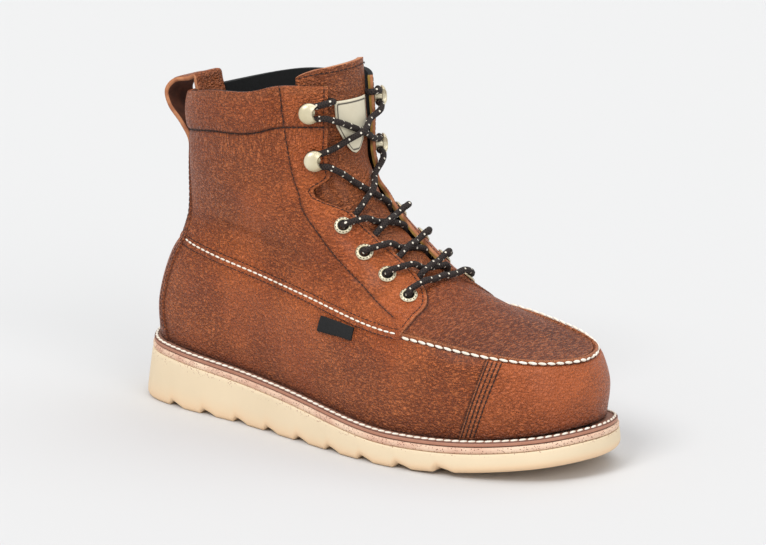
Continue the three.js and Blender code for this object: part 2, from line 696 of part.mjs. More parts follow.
// One leg of lace between a fitting on one side and the next one up on the other. It runs straight
// as seen from the front, on the tongue or the plug, and climbs over a throat edge that it passes.
// start and end are the distances from the centre line at which the solid begins and stops. A sag
// over 1 lets a slack leg hang lower.
function laceLeg(sign, lower, upper, start, end, sag) {
  const onQuarter = overlay + 3.6 * gap + flangeThickness + laceRadius;
  const onPlug = laceRadius + 2 * gap;
  const overPatch = upper === HOOKS[HOOKS.length - 1] ? patchThickness + gap : 0;
  const onTongue = laceRadius - wall - tongueClearance + overPatch + gap / 2;
  const origin = place(lower.station, sign, EDGE, lower.inset);
  const next = place(upper.station, sign, EDGE, upper.inset);
  const uphill = next.clone().sub(origin).setY(0).normalize();
  const climb = lower === upper ? 0 : next.sub(origin).dot(uphill);
  if (lower === upper) uphill.set(-slopeRun, 0, slopeRise).normalize();
  const width = seatDistance(lower) + seatDistance(upper);
  const steps = 9;
  const points = [];
  for (let i = 0; i <= steps; i += 1) {
    const across = start + (-end - start) * i / steps;
    const share = (seatDistance(lower) - across) / width;
    const station = stationAt(sign * across, origin, uphill, climb * share ** sag);
    const half = throatHalf(station);
    const leaving = start > half - laceRadius ? ease((across - half + climbLead) / climbLength) : 0;
    const landing = end > half - laceRadius ? ease((-across - half + climbLead) / climbLength) : 0;
    const floor = onPlug + (onTongue - onPlug) * ease((station - THROAT - 0.05) / 0.25);
    const height = floor + (onQuarter - floor) * Math.max(leaving, landing);
    points.push(frontPlace(station, sign * across, height));
  }
  const section = new THREE.Shape(Array.from({ length: 8 }, (_, i) => {
    const turn = (i + 0.5) * Math.PI / 4;
    return new THREE.Vector2(Math.cos(turn) * laceRadius, Math.sin(turn) * laceRadius);
  }));
  const path = new THREE.CatmullRomCurve3(points, false, 'centripetal');
  return toSolid(new THREE.ExtrudeGeometry(section, { steps, extrudePath: path, bevelEnabled: false }));
}

// Distances from the centre line: of an eyelet or a hook, and of the lace inside and past the edge
const seatDistance = ({ station, inset }) => throatHalf(station) + inset;
const insideEdge = ({ station }) => throatHalf(station) - laceRadius - 2;
const pastEdge = ({ station }) => throatHalf(station) + lacePastEdge;

// The bar between the lowest eyelets, and the crossings, each a joined pair of legs
function makeLaceBar(lowest) {
  const end = seatDistance(lowest);
  return toGeometry(laceLeg(-1, lowest, lowest, end, end, 1));
}
function makeCrossing(lower, upper, start, end, sag = 1) {
  const legs = SIDES.map(({ sign }) => laceLeg(sign, lower, upper, start, end, sag));
  return toGeometry(legs[0].add(legs[1]));
}

// Materials
function material(color, roughness, metalness = 0) {
  return new THREE.MeshStandardMaterial({ color, roughness, metalness });
}
const leather = () => material('#a5623c', 0.55);
const darkLeather = () => material('#8a4e30', 0.6);
const wedgeRubber = () => material('#e4d3b2', 0.8);
const nickel = () => material('#d8cfba', 0.3, 0.7);

const boot = new THREE.Group();
function add(name, geometry, look) {
  const mesh = new THREE.Mesh(geometry, look);
  mesh.name = name;
  boot.add(mesh);
}

add('outsole', makeOutsole(), wedgeRubber());
add('midsole', makeMidsole(), material('#c9a88c', 0.8));
add('welt', makeWelt(), material('#9c7259', 0.7));
add('insole', makeInsole(), material('#2a2624', 0.9));
add('upper', makeUpper(), leather());
add('tongue', makeTongue(), darkLeather());
add('tongue_patch', makePatch(), material('#d9cfb4', 0.7));
add('side_tag', makeTag(), material('#1c1a19', 0.8));
add('pull_loop', makePullLoop(), leather());
for (const side of SIDES) {
  for (const { name, station, inset } of EYELETS) {
    add(`${name}_${side.name}`, seat(makeEyelet(), station, side.sign, inset), nickel());
  }
  for (const { name, station, inset } of HOOKS) {
    add(`${name}_${side.name}`, seat(makeHook(), station, side.sign, inset), nickel());
  }
}

const lace = () => material('#2b2320', 0.9);
const [lowHook, highHook] = HOOKS;
add('lace_bar', makeLaceBar(EYELETS[0]), lace());
for (let i = 1; i < EYELETS.length; i += 1) {
  const [lower, upper] = [EYELETS[i - 1], EYELETS[i]];
  const start = insideEdge(lower) - (i === 1 ? barClearance : 0);
  add(`lace_crossing_${i}`, makeCrossing(lower, upper, start, seatDistance(upper)), lace());
}
const topEyelet = EYELETS[EYELETS.length - 1];
add('lace_crossing_4', makeCrossing(
  topEyelet, lowHook, insideEdge(topEyelet), pastEdge(lowHook), laceSag), lace());
add('lace_crossing_5', makeCrossing(lowHook, highHook, pastEdge(lowHook), pastEdge(highHook)), lace());

// The origin is at the bottom centre of the whole boot
const box = new THREE.Box3().setFromObject(boot);
boot.position.set(-(box.min.x + box.max.x) / 2, -(box.min.y + box.max.y) / 2, -box.min.z);

export default boot;
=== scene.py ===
# %% [markdown]
# # A moccasin-toe work boot on a wedge sole
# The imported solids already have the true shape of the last, the sole and the fittings. This lesson
# dresses them: finer leather over the same last, rows of stitches, a lace through its eyelets,
# a cast sole, and a finish for each material.

# %% The frame
import math

import bmesh
import bpy
import numpy as np
from mathutils import Matrix, Vector, kdtree


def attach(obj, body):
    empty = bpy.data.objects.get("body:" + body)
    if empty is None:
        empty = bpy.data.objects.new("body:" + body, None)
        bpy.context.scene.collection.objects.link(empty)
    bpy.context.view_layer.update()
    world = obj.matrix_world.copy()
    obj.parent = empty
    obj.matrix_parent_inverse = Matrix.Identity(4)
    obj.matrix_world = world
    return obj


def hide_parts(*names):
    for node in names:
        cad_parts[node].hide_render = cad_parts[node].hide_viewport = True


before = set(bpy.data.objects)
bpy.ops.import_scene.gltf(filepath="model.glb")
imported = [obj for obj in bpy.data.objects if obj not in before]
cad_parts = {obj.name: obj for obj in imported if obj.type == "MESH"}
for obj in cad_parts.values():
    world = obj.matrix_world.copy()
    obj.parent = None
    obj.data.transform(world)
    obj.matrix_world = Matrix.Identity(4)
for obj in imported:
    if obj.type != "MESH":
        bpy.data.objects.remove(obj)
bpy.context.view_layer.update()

# %% [markdown]
# ## Sizes
# The boot is worked out in millimetres from the back of the outsole, as a last maker would do, and
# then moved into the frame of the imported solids. Stations count the last's rings from the
# featherline (0) over the seam (3) and the throat (6) up to the collar (10).

# %% Sizes of the last
SHIFT = np.array([-154.0, 2.0105, 0.0])
SOLE_LENGTH = 308.0
BALL_WIDTH = 111.0
SHAFT_WIDTH = 86.0
DECK = [36.0, 27.0, 18.5, 27.5]
STATIONS = [0.0, 0.4, 0.68, 1.0]
FOOT_RISE = 84.0
SHAFT_RISE = 101.0
OUTER_SIDE_RISE = 1.2
WALL = 1.9
OVERLAY = 0.9
GAP = 0.3
CAP, EDGE, STAY = 0.11, 0.22, 0.90
SEAM, THROAT, CUFF, COLLAR = 3, 6, 9, 10
PLAN = [
    (0.000, 0.00, 0.00), (0.045, 0.53, 0.51), (0.140, 0.72, 0.70), (0.300, 0.78, 0.67),
    (0.450, 0.90, 0.71), (0.600, 1.02, 0.87), (0.700, 1.03, 0.96), (0.820, 0.92, 0.92),
    (0.920, 0.67, 0.79), (0.975, 0.35, 0.55), (1.000, -0.12, 0.12),
]
RING_KEYS = ("back front heel waist ball toe half heel_full toe_full oval cap edge stay roll").split()
RINGS = [dict(zip(RING_KEYS, row)) for row in [
    (0.026, 0.974, 0.000, 0.000, 0.000, 0.000, 0.883, 0.96, 1.00, 0.0, 0.230, 0.403, 0.117, 0.0),
    (0.027, 0.974, 0.254, 0.222, 0.226, 0.207, 0.937, 0.94, 1.03, 0.0, 0.213, 0.374, 0.105, 0.0),
    (0.059, 0.961, 0.584, 0.526, 0.490, 0.340, 0.928, 0.92, 1.02, 0.0, 0.192, 0.352, 0.103, 0.6),
    (0.082, 0.956, 0.701, 0.630, 0.616, 0.407, 0.838, 0.92, 1.00, 0.0, 0.181, 0.347, 0.091, 1.0),
    (0.086, 0.857, 0.763, 0.764, 0.728, 0.477, 0.694, 0.98, 0.95, 0.2, 0.132, 0.264, 0.088, 0.8),
    (0.090, 0.753, 0.816, 0.888, 0.858, 0.605, 0.608, 1.02, 0.90, 0.5, 0.081, 0.154, 0.086, 0.4),
    (0.094, 0.659, 0.881, 0.988, 1.000, 0.762, 0.621, 1.00, 0.90, 0.8, 0.037, 0.079, 0.096, 0.0),
    (0.101, 0.521, 0.168, 0.178, 0.238, 0.317, 0.848, 1.00, 1.00, 1.0, 0.059, 0.118, 0.115, 0.0),
    (0.105, 0.476, 0.277, 0.327, 0.426, 0.554, 0.894, 1.00, 1.00, 1.0, 0.071, 0.144, 0.118, 0.0),
    (0.109, 0.469, 0.446, 0.525, 0.644, 0.782, 0.940, 1.00, 1.00, 1.0, 0.069, 0.138, 0.114, 0.0),
    (0.109, 0.463, 0.653, 0.752, 0.871, 1.000, 0.940, 1.00, 1.00, 1.0, 0.067, 0.129, 0.110, 0.0),
]]


def metres(points):
    """Places in the frame of the solids, from places in millimetres."""
    return (np.asarray(points, float) + SHIFT) / 1000


def ease(t):
    x = np.clip(t, 0, 1)
    return x * x * (3 - 2 * x)


def hump(distance, width):
    """A soft bell, 1 at the middle and 0.37 at the given distance."""
    return np.exp(-(np.asarray(distance, float) / width) ** 2)


print("rings of the last", len(RINGS), "points of its plan", len(PLAN))

# %% [markdown]
# ## The last
# Every soft piece lies on the last, so its surface is a function: from a station and a column
# round it to a place. Curves that never overshoot give the heights, and a spline through the rings
# gives the surface between them.

# %% Curves of the last
def curve_at(xs, ys, x):
    """Smooth curve through the points, with no overshoot between them."""
    xs, ys = np.asarray(xs, float), np.asarray(ys, float)
    h = np.diff(xs)
    d = np.diff(ys) / h
    m = np.zeros(len(xs))
    for i in range(1, len(xs) - 1):
        if d[i - 1] * d[i] > 0:
            w1, w2 = 2 * h[i] + h[i - 1], h[i] + 2 * h[i - 1]
            m[i] = (w1 + w2) / (w1 / d[i - 1] + w2 / d[i])
    for end, (h0, h1, d0, d1) in ((0, (h[0], h[1], d[0], d[1])), (-1, (h[-1], h[-2], d[-1], d[-2]))):
        slope = ((2 * h0 + h1) * d0 - h0 * d1) / (h0 + h1)
        if slope * d0 <= 0:
            slope = 0.0
        elif d0 * d1 <= 0 and abs(slope) > abs(3 * d0):
            slope = 3 * d0
        m[end] = slope
    i = np.clip(np.searchsorted(xs, x, side="right") - 1, 0, len(h) - 1)
    t = (x - xs[i]) / h[i]
    return (ys[i] * (1 + 2 * t) * (1 - t) ** 2 + h[i] * m[i] * t * (1 - t) ** 2
            + ys[i + 1] * t * t * (3 - 2 * t) + h[i] * m[i + 1] * t * t * (t - 1))


def deck(x):
    return curve_at(STATIONS, DECK, np.clip(np.asarray(x, float) / SOLE_LENGTH, 0, 1))


SPRING_FROM, SPRING_RISE = 205, 10.5
GROOVE_FIRST, GROOVE_PITCH, GROOVE_COUNT = 40, 25, 9
GROOVE_BEHIND, GROOVE_AHEAD, GROOVE_DEPTH = 3.0, 9.0, 2.9


def tread(x):
    """Height of the sole's underside, with its toe spring and the grooves across it."""
    spring = SPRING_RISE * np.clip((x - SPRING_FROM) / (SOLE_LENGTH - SPRING_FROM), 0, 1) ** 1.6
    number = np.clip(np.round((x - GROOVE_FIRST) / GROOVE_PITCH), 0, GROOVE_COUNT - 1)
    away = x - (GROOVE_FIRST + GROOVE_PITCH * number)
    across = np.clip(np.where(away < 0, -away / GROOVE_BEHIND, away / GROOVE_AHEAD), 0, 1)
    return spring + GROOVE_DEPTH * (1 - across) ** 0.8


def closed_curve(points, steps):
    """A closed curve through the points, with so many steps between each two."""
    points = np.asarray(points, float)
    before, after, beyond = np.roll(points, 1, 0), np.roll(points, -1, 0), np.roll(points, -2, 0)
    t = (np.arange(steps) / steps)[None, :, None]
    p0, p1, p2, p3 = (p[:, None, :] for p in (before, points, after, beyond))
    curve = 0.5 * (2 * p1 + (p2 - p0) * t + (2 * p0 - 5 * p1 + 4 * p2 - p3) * t * t
                   + (3 * p1 - p0 - 3 * p2 + p3) * t ** 3)
    return curve.reshape(-1, points.shape[1])


STEPS = 48
outline = closed_curve([(a, -o) for a, o, i in PLAN] + [(a, i) for a, o, i in PLAN[-2:0:-1]], STEPS)
HALF_TURN = (len(PLAN) - 1) * STEPS
plan_side = {-1: outline[:HALF_TURN + 1][::-1], 1: np.vstack([outline[HALF_TURN:], outline[:1]])}
print("plan points a side", len(plan_side[1]))


# %% [markdown]
# The last is a stack of rings: low ones round the whole foot, high ones round the shaft. A column
# names the same part of the shoe on each ring, such as the lacing edge or the backstay.

# %% Rings of the last
def running_length(path):
    """Length from the start of a path to each of its points."""
    return np.concatenate([[0], np.cumsum(np.linalg.norm(np.diff(path, axis=0), axis=1))])


def place_at(path, run, at):
    """Places on a path at the given lengths."""
    return np.column_stack([np.interp(at, run, path[:, k]) for k in range(3)])


def ring_rise(index, share):
    ring = RINGS[index]
    heights = [ring[key] for key in ("heel", "waist", "ball", "toe")]
    if index <= THROAT:
        return FOOT_RISE * curve_at(STATIONS, heights, share)
    return ring_rise(THROAT, share) + SHAFT_RISE * curve_at(STATIONS, heights, share)


def ring_side(index, sign):
    """One side of a ring from its front centre to its back centre, and its running length."""
    ring = RINGS[index]
    along, across = plan_side[sign].T
    turn = np.linspace(0, math.pi, len(along))
    full = (1 + (ring["toe_full"] - 1) * ease((along - 0.5) / 0.5)
            + (ring["heel_full"] - 1) * ease((0.5 - along) / 0.5))
    oval = ring["oval"]
    share = along * (1 - oval) + (1 + np.cos(turn)) / 2 * oval
    breadth = across * full * (1 - oval) + sign * np.abs(np.sin(turn)) ** 0.92 * oval
    half = ring["half"] * (BALL_WIDTH if index <= THROAT else SHAFT_WIDTH) / 2
    x = SOLE_LENGTH * (ring["back"] + (ring["front"] - ring["back"]) * share)
    z = curve_at(STATIONS, DECK, share) + ring_rise(index, share) - OUTER_SIDE_RISE * ring["roll"] * breadth
    points = np.column_stack([x, half * breadth, z + GAP])
    return points, running_length(points)


ring_sides = {sign: [ring_side(i, sign) for i in range(len(RINGS))] for sign in (-1, 1)}


def column_run(index, sign, column):
    """Distance round a ring at a column."""
    ring, total = RINGS[index], ring_sides[sign][index][1][-1]
    marks = [0, ring["cap"] * total, ring["edge"] * total, (1 - ring["stay"]) * total, total]
    return np.interp(column, [0, CAP, EDGE, STAY, 1], marks)


def spline(p0, p1, p2, p3, t):
    """A span between p1 and p2 of a curve whose speed follows the spacing of its points."""
    gap = lambda a, b: np.maximum(np.sqrt(np.linalg.norm(b - a, axis=-1, keepdims=True)), 1e-4)
    d0, d1, d2 = gap(p0, p1), gap(p1, p2), gap(p2, p3)
    m1 = ((p1 - p0) / d0 - (p2 - p0) / (d0 + d1) + (p2 - p1) / d1) * d1
    m2 = ((p2 - p1) / d1 - (p3 - p1) / (d1 + d2) + (p3 - p2) / d2) * d1
    t = t[..., None]
    return (p1 * (1 + 2 * t) * (1 - t) ** 2 + m1 * t * (1 - t) ** 2
            + p2 * t * t * (3 - 2 * t) + m2 * t * t * (t - 1))


def on_last(station, sign, column, inset=0.0):
    """Places on the last, in millimetres."""
    station, sign, column, inset = np.broadcast_arrays(
        np.asarray(station, float), sign, np.asarray(column, float), np.asarray(inset, float))
    shape = station.shape
    station, sign, column, inset = (a.ravel() for a in (station, sign, column, inset))
    rows = np.empty((len(RINGS), len(station), 3))
    for side in (-1, 1):
        pick = sign == side
        for i in range(len(RINGS)):
            points, run = ring_sides[side][i]
            at = column_run(i, side, column[pick]) + inset[pick]
            rows[i, pick] = place_at(points, run, at)
    out = np.empty((len(station), 3))
    held = np.clip(station, 0, COLLAR)
    for first, last in ((0, SEAM), (SEAM, COLLAR)):
        for i in range(first, last):
            low = held >= i if i > 0 else held >= -1
            here = low & ((held < i + 1) | (i == COLLAR - 1))
            p1, p2 = rows[i, here], rows[i + 1, here]
            p0 = rows[i - 1, here] if i > first else 2 * p1 - p2
            p3 = rows[i + 2, here] if i + 2 <= last else 2 * p2 - p1
            out[here] = spline(p0, p1, p2, p3, held[here] - i)
    over = station > COLLAR
    if over.any():
        reach = (rows[COLLAR, over] - on_last(COLLAR - 0.3, sign[over], column[over], inset[over])) / 0.3
        out[over] = rows[COLLAR, over] + reach * (station[over] - COLLAR)[:, None]
    return out.reshape(shape + (3,))


def outward(station, sign, column, inset=0.0):
    """Outward direction of the last."""
    low = np.clip(np.asarray(station, float) - 0.04, 0, COLLAR - 0.08)
    high = low + 0.08
    rise = on_last(high, sign, column, inset) - on_last(low, sign, column, inset)
    back = (on_last(station, sign, column, np.asarray(inset) + 1)
            - on_last(station, sign, column, np.asarray(inset) - 1))
    normal = np.cross(back, rise) * np.asarray(sign, float)[..., None]
    return normal / np.linalg.norm(normal, axis=-1, keepdims=True)


print("collar back", on_last(COLLAR, -1, 1.0).round(1))


# %% [markdown]
# ## Small tools
# A sheet is a grid primitive whose corners are moved onto the last. A tube is one circle extruded
# along its path. Stitches are small beads of a few faces, set along a line and joined.

# %% Small tools
def finder(points):
    """A search tree over places."""
    tree = kdtree.KDTree(len(points))
    for i, point in enumerate(points):
        tree.insert(point, i)
    tree.balance()
    return tree


def colour(red, green, blue):
    """A display colour from 0 to 255 as the linear colour that a shader takes."""
    linear = [(c / 255 / 12.92 if c < 10 else ((c / 255 + 0.055) / 1.055) ** 2.4)
              for c in (red, green, blue)]
    return (*linear, 1.0)


def piece(name, bm, materials, replaces=()):
    """Turns a bmesh in millimetres into a finished piece of the boot."""
    for vertex in bm.verts:
        vertex.co = (vertex.co + Vector(SHIFT)) / 1000
    mesh = bpy.data.meshes.new(name)
    bm.to_mesh(mesh)
    bm.free()
    for polygon in mesh.polygons:
        polygon.use_smooth = True
    for material in materials:
        mesh.materials.append(material)
    thing = bpy.data.objects.new(name, mesh)
    bpy.context.scene.collection.objects.link(thing)
    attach(thing, "root")
    if replaces:
        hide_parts(*replaces)
    print(name, "faces", len(mesh.polygons))
    return thing


def grid_sheet(places, fields=None):
    """A bmesh grid whose corners lie on the given places, with number fields on its corners."""
    rows, cols = places.shape[:2]
    bm = bmesh.new()
    layers = {key: bm.verts.layers.float.new(key) for key in (fields or {})}
    bmesh.ops.create_grid(bm, x_segments=cols - 1, y_segments=rows - 1, size=1)
    for vertex in bm.verts:
        c = round((vertex.co.x + 1) / 2 * (cols - 1))
        r = round((vertex.co.y + 1) / 2 * (rows - 1))
        vertex.co = places[r, c]
        for key, layer in layers.items():
            vertex[layer] = fields[key][r, c]
    return bm


def sheet_normals(places, wrap=False):
    """Directions across a sheet of places."""
    if wrap:
        ring = np.concatenate([places[:, -2:-1], places, places[:, 1:2]], axis=1)
        along = (ring[:, 2:] - ring[:, :-2])
    else:
        along = np.gradient(places, axis=1)
    normal = np.cross(along, np.gradient(places, axis=0))
    return normal / np.maximum(np.linalg.norm(normal, axis=-1, keepdims=True), 1e-9)


def thicken(bm, axis, thickness):
    """Turns a sheet's faces along an axis, then gives it its thickness."""
    bmesh.ops.recalc_face_normals(bm, faces=bm.faces)
    if sum(face.normal.dot(Vector(axis)) for face in bm.faces) < 0:
        bmesh.ops.reverse_faces(bm, faces=bm.faces)
    bmesh.ops.solidify(bm, geom=list(bm.faces), thickness=thickness)


def resample(path, step):
    """The same path with points a given distance apart."""
    path = np.asarray(path, float)
    run = running_length(path)
    return place_at(path, run, np.linspace(0, run[-1], max(2, int(round(run[-1] / step)) + 1)))


def smooth_path(path, steps):
    """A smooth path through the points."""
    path = np.asarray(path, float)
    whole = np.vstack([2 * path[0] - path[1], path, 2 * path[-1] - path[-2]])
    t = np.arange(steps) / steps
    spans = [spline(*(np.repeat(whole[i + k][None], steps, 0) for k in range(4)), t)
             for i in range(len(path) - 1)]
    return np.vstack(spans + [path[-1:]])


def tube(bm, path, radius, sides=10):
    """A round cord along a path, from one circle extruded, with its length in mm kept as a field."""
    length, turn = (bm.verts.layers.float.new(key) for key in ("length_mm", "turn"))
    tangent = np.gradient(path, axis=0)
    tangent /= np.linalg.norm(tangent, axis=1, keepdims=True)
    run = running_length(path)
    side = np.cross(tangent[0], [0.0, 0.0, 1.0])
    order = bmesh.ops.create_circle(bm, cap_ends=False, segments=sides, radius=radius)["verts"]
    edges = list({edge for vertex in order for edge in vertex.link_edges})
    for i, (place, ahead) in enumerate(zip(path, tangent)):
        side = side - ahead * side.dot(ahead)
        side /= np.linalg.norm(side)
        other = np.cross(ahead, side)
        if i > 0:
            made = bmesh.ops.extrude_edge_only(bm, edges=edges)["geom"]
            fresh = {item for item in made if isinstance(item, bmesh.types.BMVert)}
            edges = [item for item in made if isinstance(item, bmesh.types.BMEdge)
                     and all(v in fresh for v in item.verts)]
            above = {edge.other_vert(v): v for v in fresh for edge in v.link_edges
                     if edge.other_vert(v) not in fresh}
            order = [above[v] for v in order]
        for k, vertex in enumerate(order):
            angle = 2 * math.pi * k / sides
            reach = side * math.cos(angle) + other * math.sin(angle)
            vertex.co = Vector(place + reach * radius)
            vertex[length] = run[i]
            vertex[turn] = 1 - abs(2 * k / sides - 1)
    return run[-1]


THREAD_FLATNESS = 0.8
SEEN_AHEAD = 0.4


def stitches(bm, path, lift, pitch, length, radius, cant=0.0):
    """A row of stitches: beads along a path, lifted along the given directions and canted a little."""
    path = np.asarray(path, float)
    run = running_length(path)
    count = max(1, int(run[-1] / pitch))
    at = (np.arange(count) + 0.5) * run[-1] / count
    places, ups = place_at(path, run, at), place_at(lift, run, at)
    ahead, behind = place_at(path, run, at + SEEN_AHEAD), place_at(path, run, at - SEEN_AHEAD)
    for place, x_axis, up in zip(places, ahead - behind, ups):
        x_axis = Vector(x_axis).normalized()
        z_axis = Vector(up)
        z_axis = (z_axis - x_axis * z_axis.dot(x_axis)).normalized()
        y_axis = z_axis.cross(x_axis)
        turned = Matrix((x_axis, y_axis, z_axis)).transposed().to_4x4()
        turned = Matrix.Translation(place) @ turned @ Matrix.Rotation(cant, 4, "Z")
        turned = turned @ Matrix.Diagonal((length / 2, radius, radius * THREAD_FLATNESS, 1))
        bmesh.ops.create_uvsphere(bm, u_segments=6, v_segments=6, radius=1,
                                  matrix=turned @ Matrix.Rotation(math.pi / 2, 4, "Y"))
    return count


print("a white in linear colour", tuple(round(part, 2) for part in colour(246, 240, 228)))

# %% [markdown]
# ## Finishes
# The grain is used by both leathers, so it is a node group that puts out a height and a crease mask;
# speckle is a helper that two rubbers share. Each material then mixes its own colours, and its bump goes into
# the normal.

# %% Node helpers
class Nodes:
    """A node tree with a short way to add nodes and to join them."""

    def __init__(self, tree):
        self.tree = tree

    def feed(self, socket, value):
        """Joins a socket to another one, or sets its value."""
        if isinstance(value, bpy.types.NodeSocket):
            self.tree.links.new(value, socket)
        else:
            socket.default_value = value

    def node(self, kind, inputs=None, **settings):
        made = self.tree.nodes.new(kind)
        for key, value in settings.items():
            setattr(made, key, value)
        for key, value in (inputs or {}).items():
            self.feed(made.inputs[key], value)
        return made

    def place(self, scale=(1, 1, 1), turn=(0, 0, 0)):
        """Object coordinates in metres, stretched and turned."""
        where = self.node("ShaderNodeTexCoord").outputs["Object"]
        return self.node("ShaderNodeMapping", {"Vector": where, "Scale": scale, "Rotation": turn}).outputs[0]

    def field(self, name):
        return self.node("ShaderNodeAttribute", attribute_name=name).outputs["Fac"]

    def math(self, operation, *values):
        return self.node("ShaderNodeMath", dict(enumerate(values)), operation=operation).outputs[0]

    def product(self, *values):
        total = values[0]
        for value in values[1:]:
            total = self.math("MULTIPLY", total, value)
        return total

    def noise(self, vector, scale, detail=3.0, roughness=0.55):
        return self.node("ShaderNodeTexNoise", {
            "Vector": vector, "Scale": scale, "Detail": detail, "Roughness": roughness}).outputs["Fac"]

    def ramp(self, value, low, high, low_to=0.0, high_to=1.0):
        """A smooth step of a value between two of its levels."""
        return self.node("ShaderNodeMapRange", {
            "Value": value, "From Min": low, "From Max": high, "To Min": low_to, "To Max": high_to},
            interpolation_type="SMOOTHSTEP").outputs[0]

    def band(self, value, centre, width):
        """1 at a level of a value, 0 at a width away from it."""
        away = self.math("ABSOLUTE", self.math("SUBTRACT", value, centre))
        return self.ramp(away, 0.0, width, 1.0, 0.0)

    def mix(self, share, a, b):
        made = self.node("ShaderNodeMix", data_type="RGBA")
        colours = [socket for socket in made.inputs if socket.type == "RGBA"]
        for socket, value in zip([made.inputs[0]] + colours, (share, a, b)):
            self.feed(socket, value)
        return [socket for socket in made.outputs if socket.type == "RGBA"][0]


class Shader(Nodes):
    """A material with its surface."""

    def __init__(self, name, roughness, **sockets):
        self.material = bpy.data.materials.new(name)
        self.material.use_nodes = True
        super().__init__(self.material.node_tree)
        self.surface = self.tree.nodes["Principled BSDF"]
        self.surface.inputs["Roughness"].default_value = roughness
        for key, value in sockets.items():
            self.surface.inputs[key.replace("_", " ")].default_value = value

    def finish(self, base, height, bump, distance, roughness=None):
        self.feed(self.surface.inputs["Base Color"], base)
        if roughness is not None:
            self.feed(self.surface.inputs["Roughness"], roughness)
        made = self.node("ShaderNodeBump", {"Height": height, "Strength": bump, "Distance": distance})
        self.feed(self.surface.inputs["Normal"], made.outputs[0])
        return self.material


print("node helpers", [name for name in dir(Nodes) if not name.startswith("_")])

# %% [markdown]
# Tumbled leather is a skin of small rounded pebbles. Cells with soft borders, moved about by a
# noise, give the pebbles; a finer noise roughens their tops, and the low places are the creases.


# %% Leather grain
def make_grain_group():
    """Rounded pebbles of two sizes with creases between them."""
    group = bpy.data.node_groups.new("leather grain", "ShaderNodeTree")
    for key, kind in (("Vector", "Vector"), ("Scale", "Float"), ("Warp", "Float")):
        group.interface.new_socket(key, in_out="INPUT", socket_type="NodeSocket" + kind)
    for key in ("Height", "Crease"):
        group.interface.new_socket(key, in_out="OUTPUT", socket_type="NodeSocketFloat")
    tree = Nodes(group)
    given = tree.node("NodeGroupInput").outputs
    coarse = tree.math("MULTIPLY", given["Scale"], 0.45)
    wander = tree.node("ShaderNodeTexNoise", {"Vector": given["Vector"], "Scale": coarse, "Detail": 2.0})
    scaled = tree.node("ShaderNodeVectorMath", {0: given["Vector"], "Scale": given["Scale"]},
                       operation="SCALE")
    shifted = tree.node("ShaderNodeVectorMath", {0: wander.outputs["Color"], "Scale": given["Warp"]},
                        operation="SCALE")
    moved = tree.node("ShaderNodeVectorMath", {0: scaled.outputs[0], 1: shifted.outputs[0]},
                      operation="ADD").outputs[0]
    cells = tree.node("ShaderNodeTexVoronoi", {"Vector": moved, "Scale": 1.0, "Smoothness": 0.6},
                      feature="SMOOTH_F1")
    fine = tree.node("ShaderNodeTexNoise", {"Vector": moved, "Scale": 2.2, "Detail": 4.0})
    round_top = tree.ramp(cells.outputs["Distance"], 0.15, 0.75, 1.0, 0.0)
    height = tree.math("MULTIPLY_ADD", fine.outputs["Fac"], 0.5, round_top)
    tree.node("NodeGroupOutput", {"Height": height, "Crease": tree.ramp(height, 0.35, 0.95, 1.0, 0.0)})
    return group


grain = make_grain_group()
print("grain nodes", len(grain.nodes))
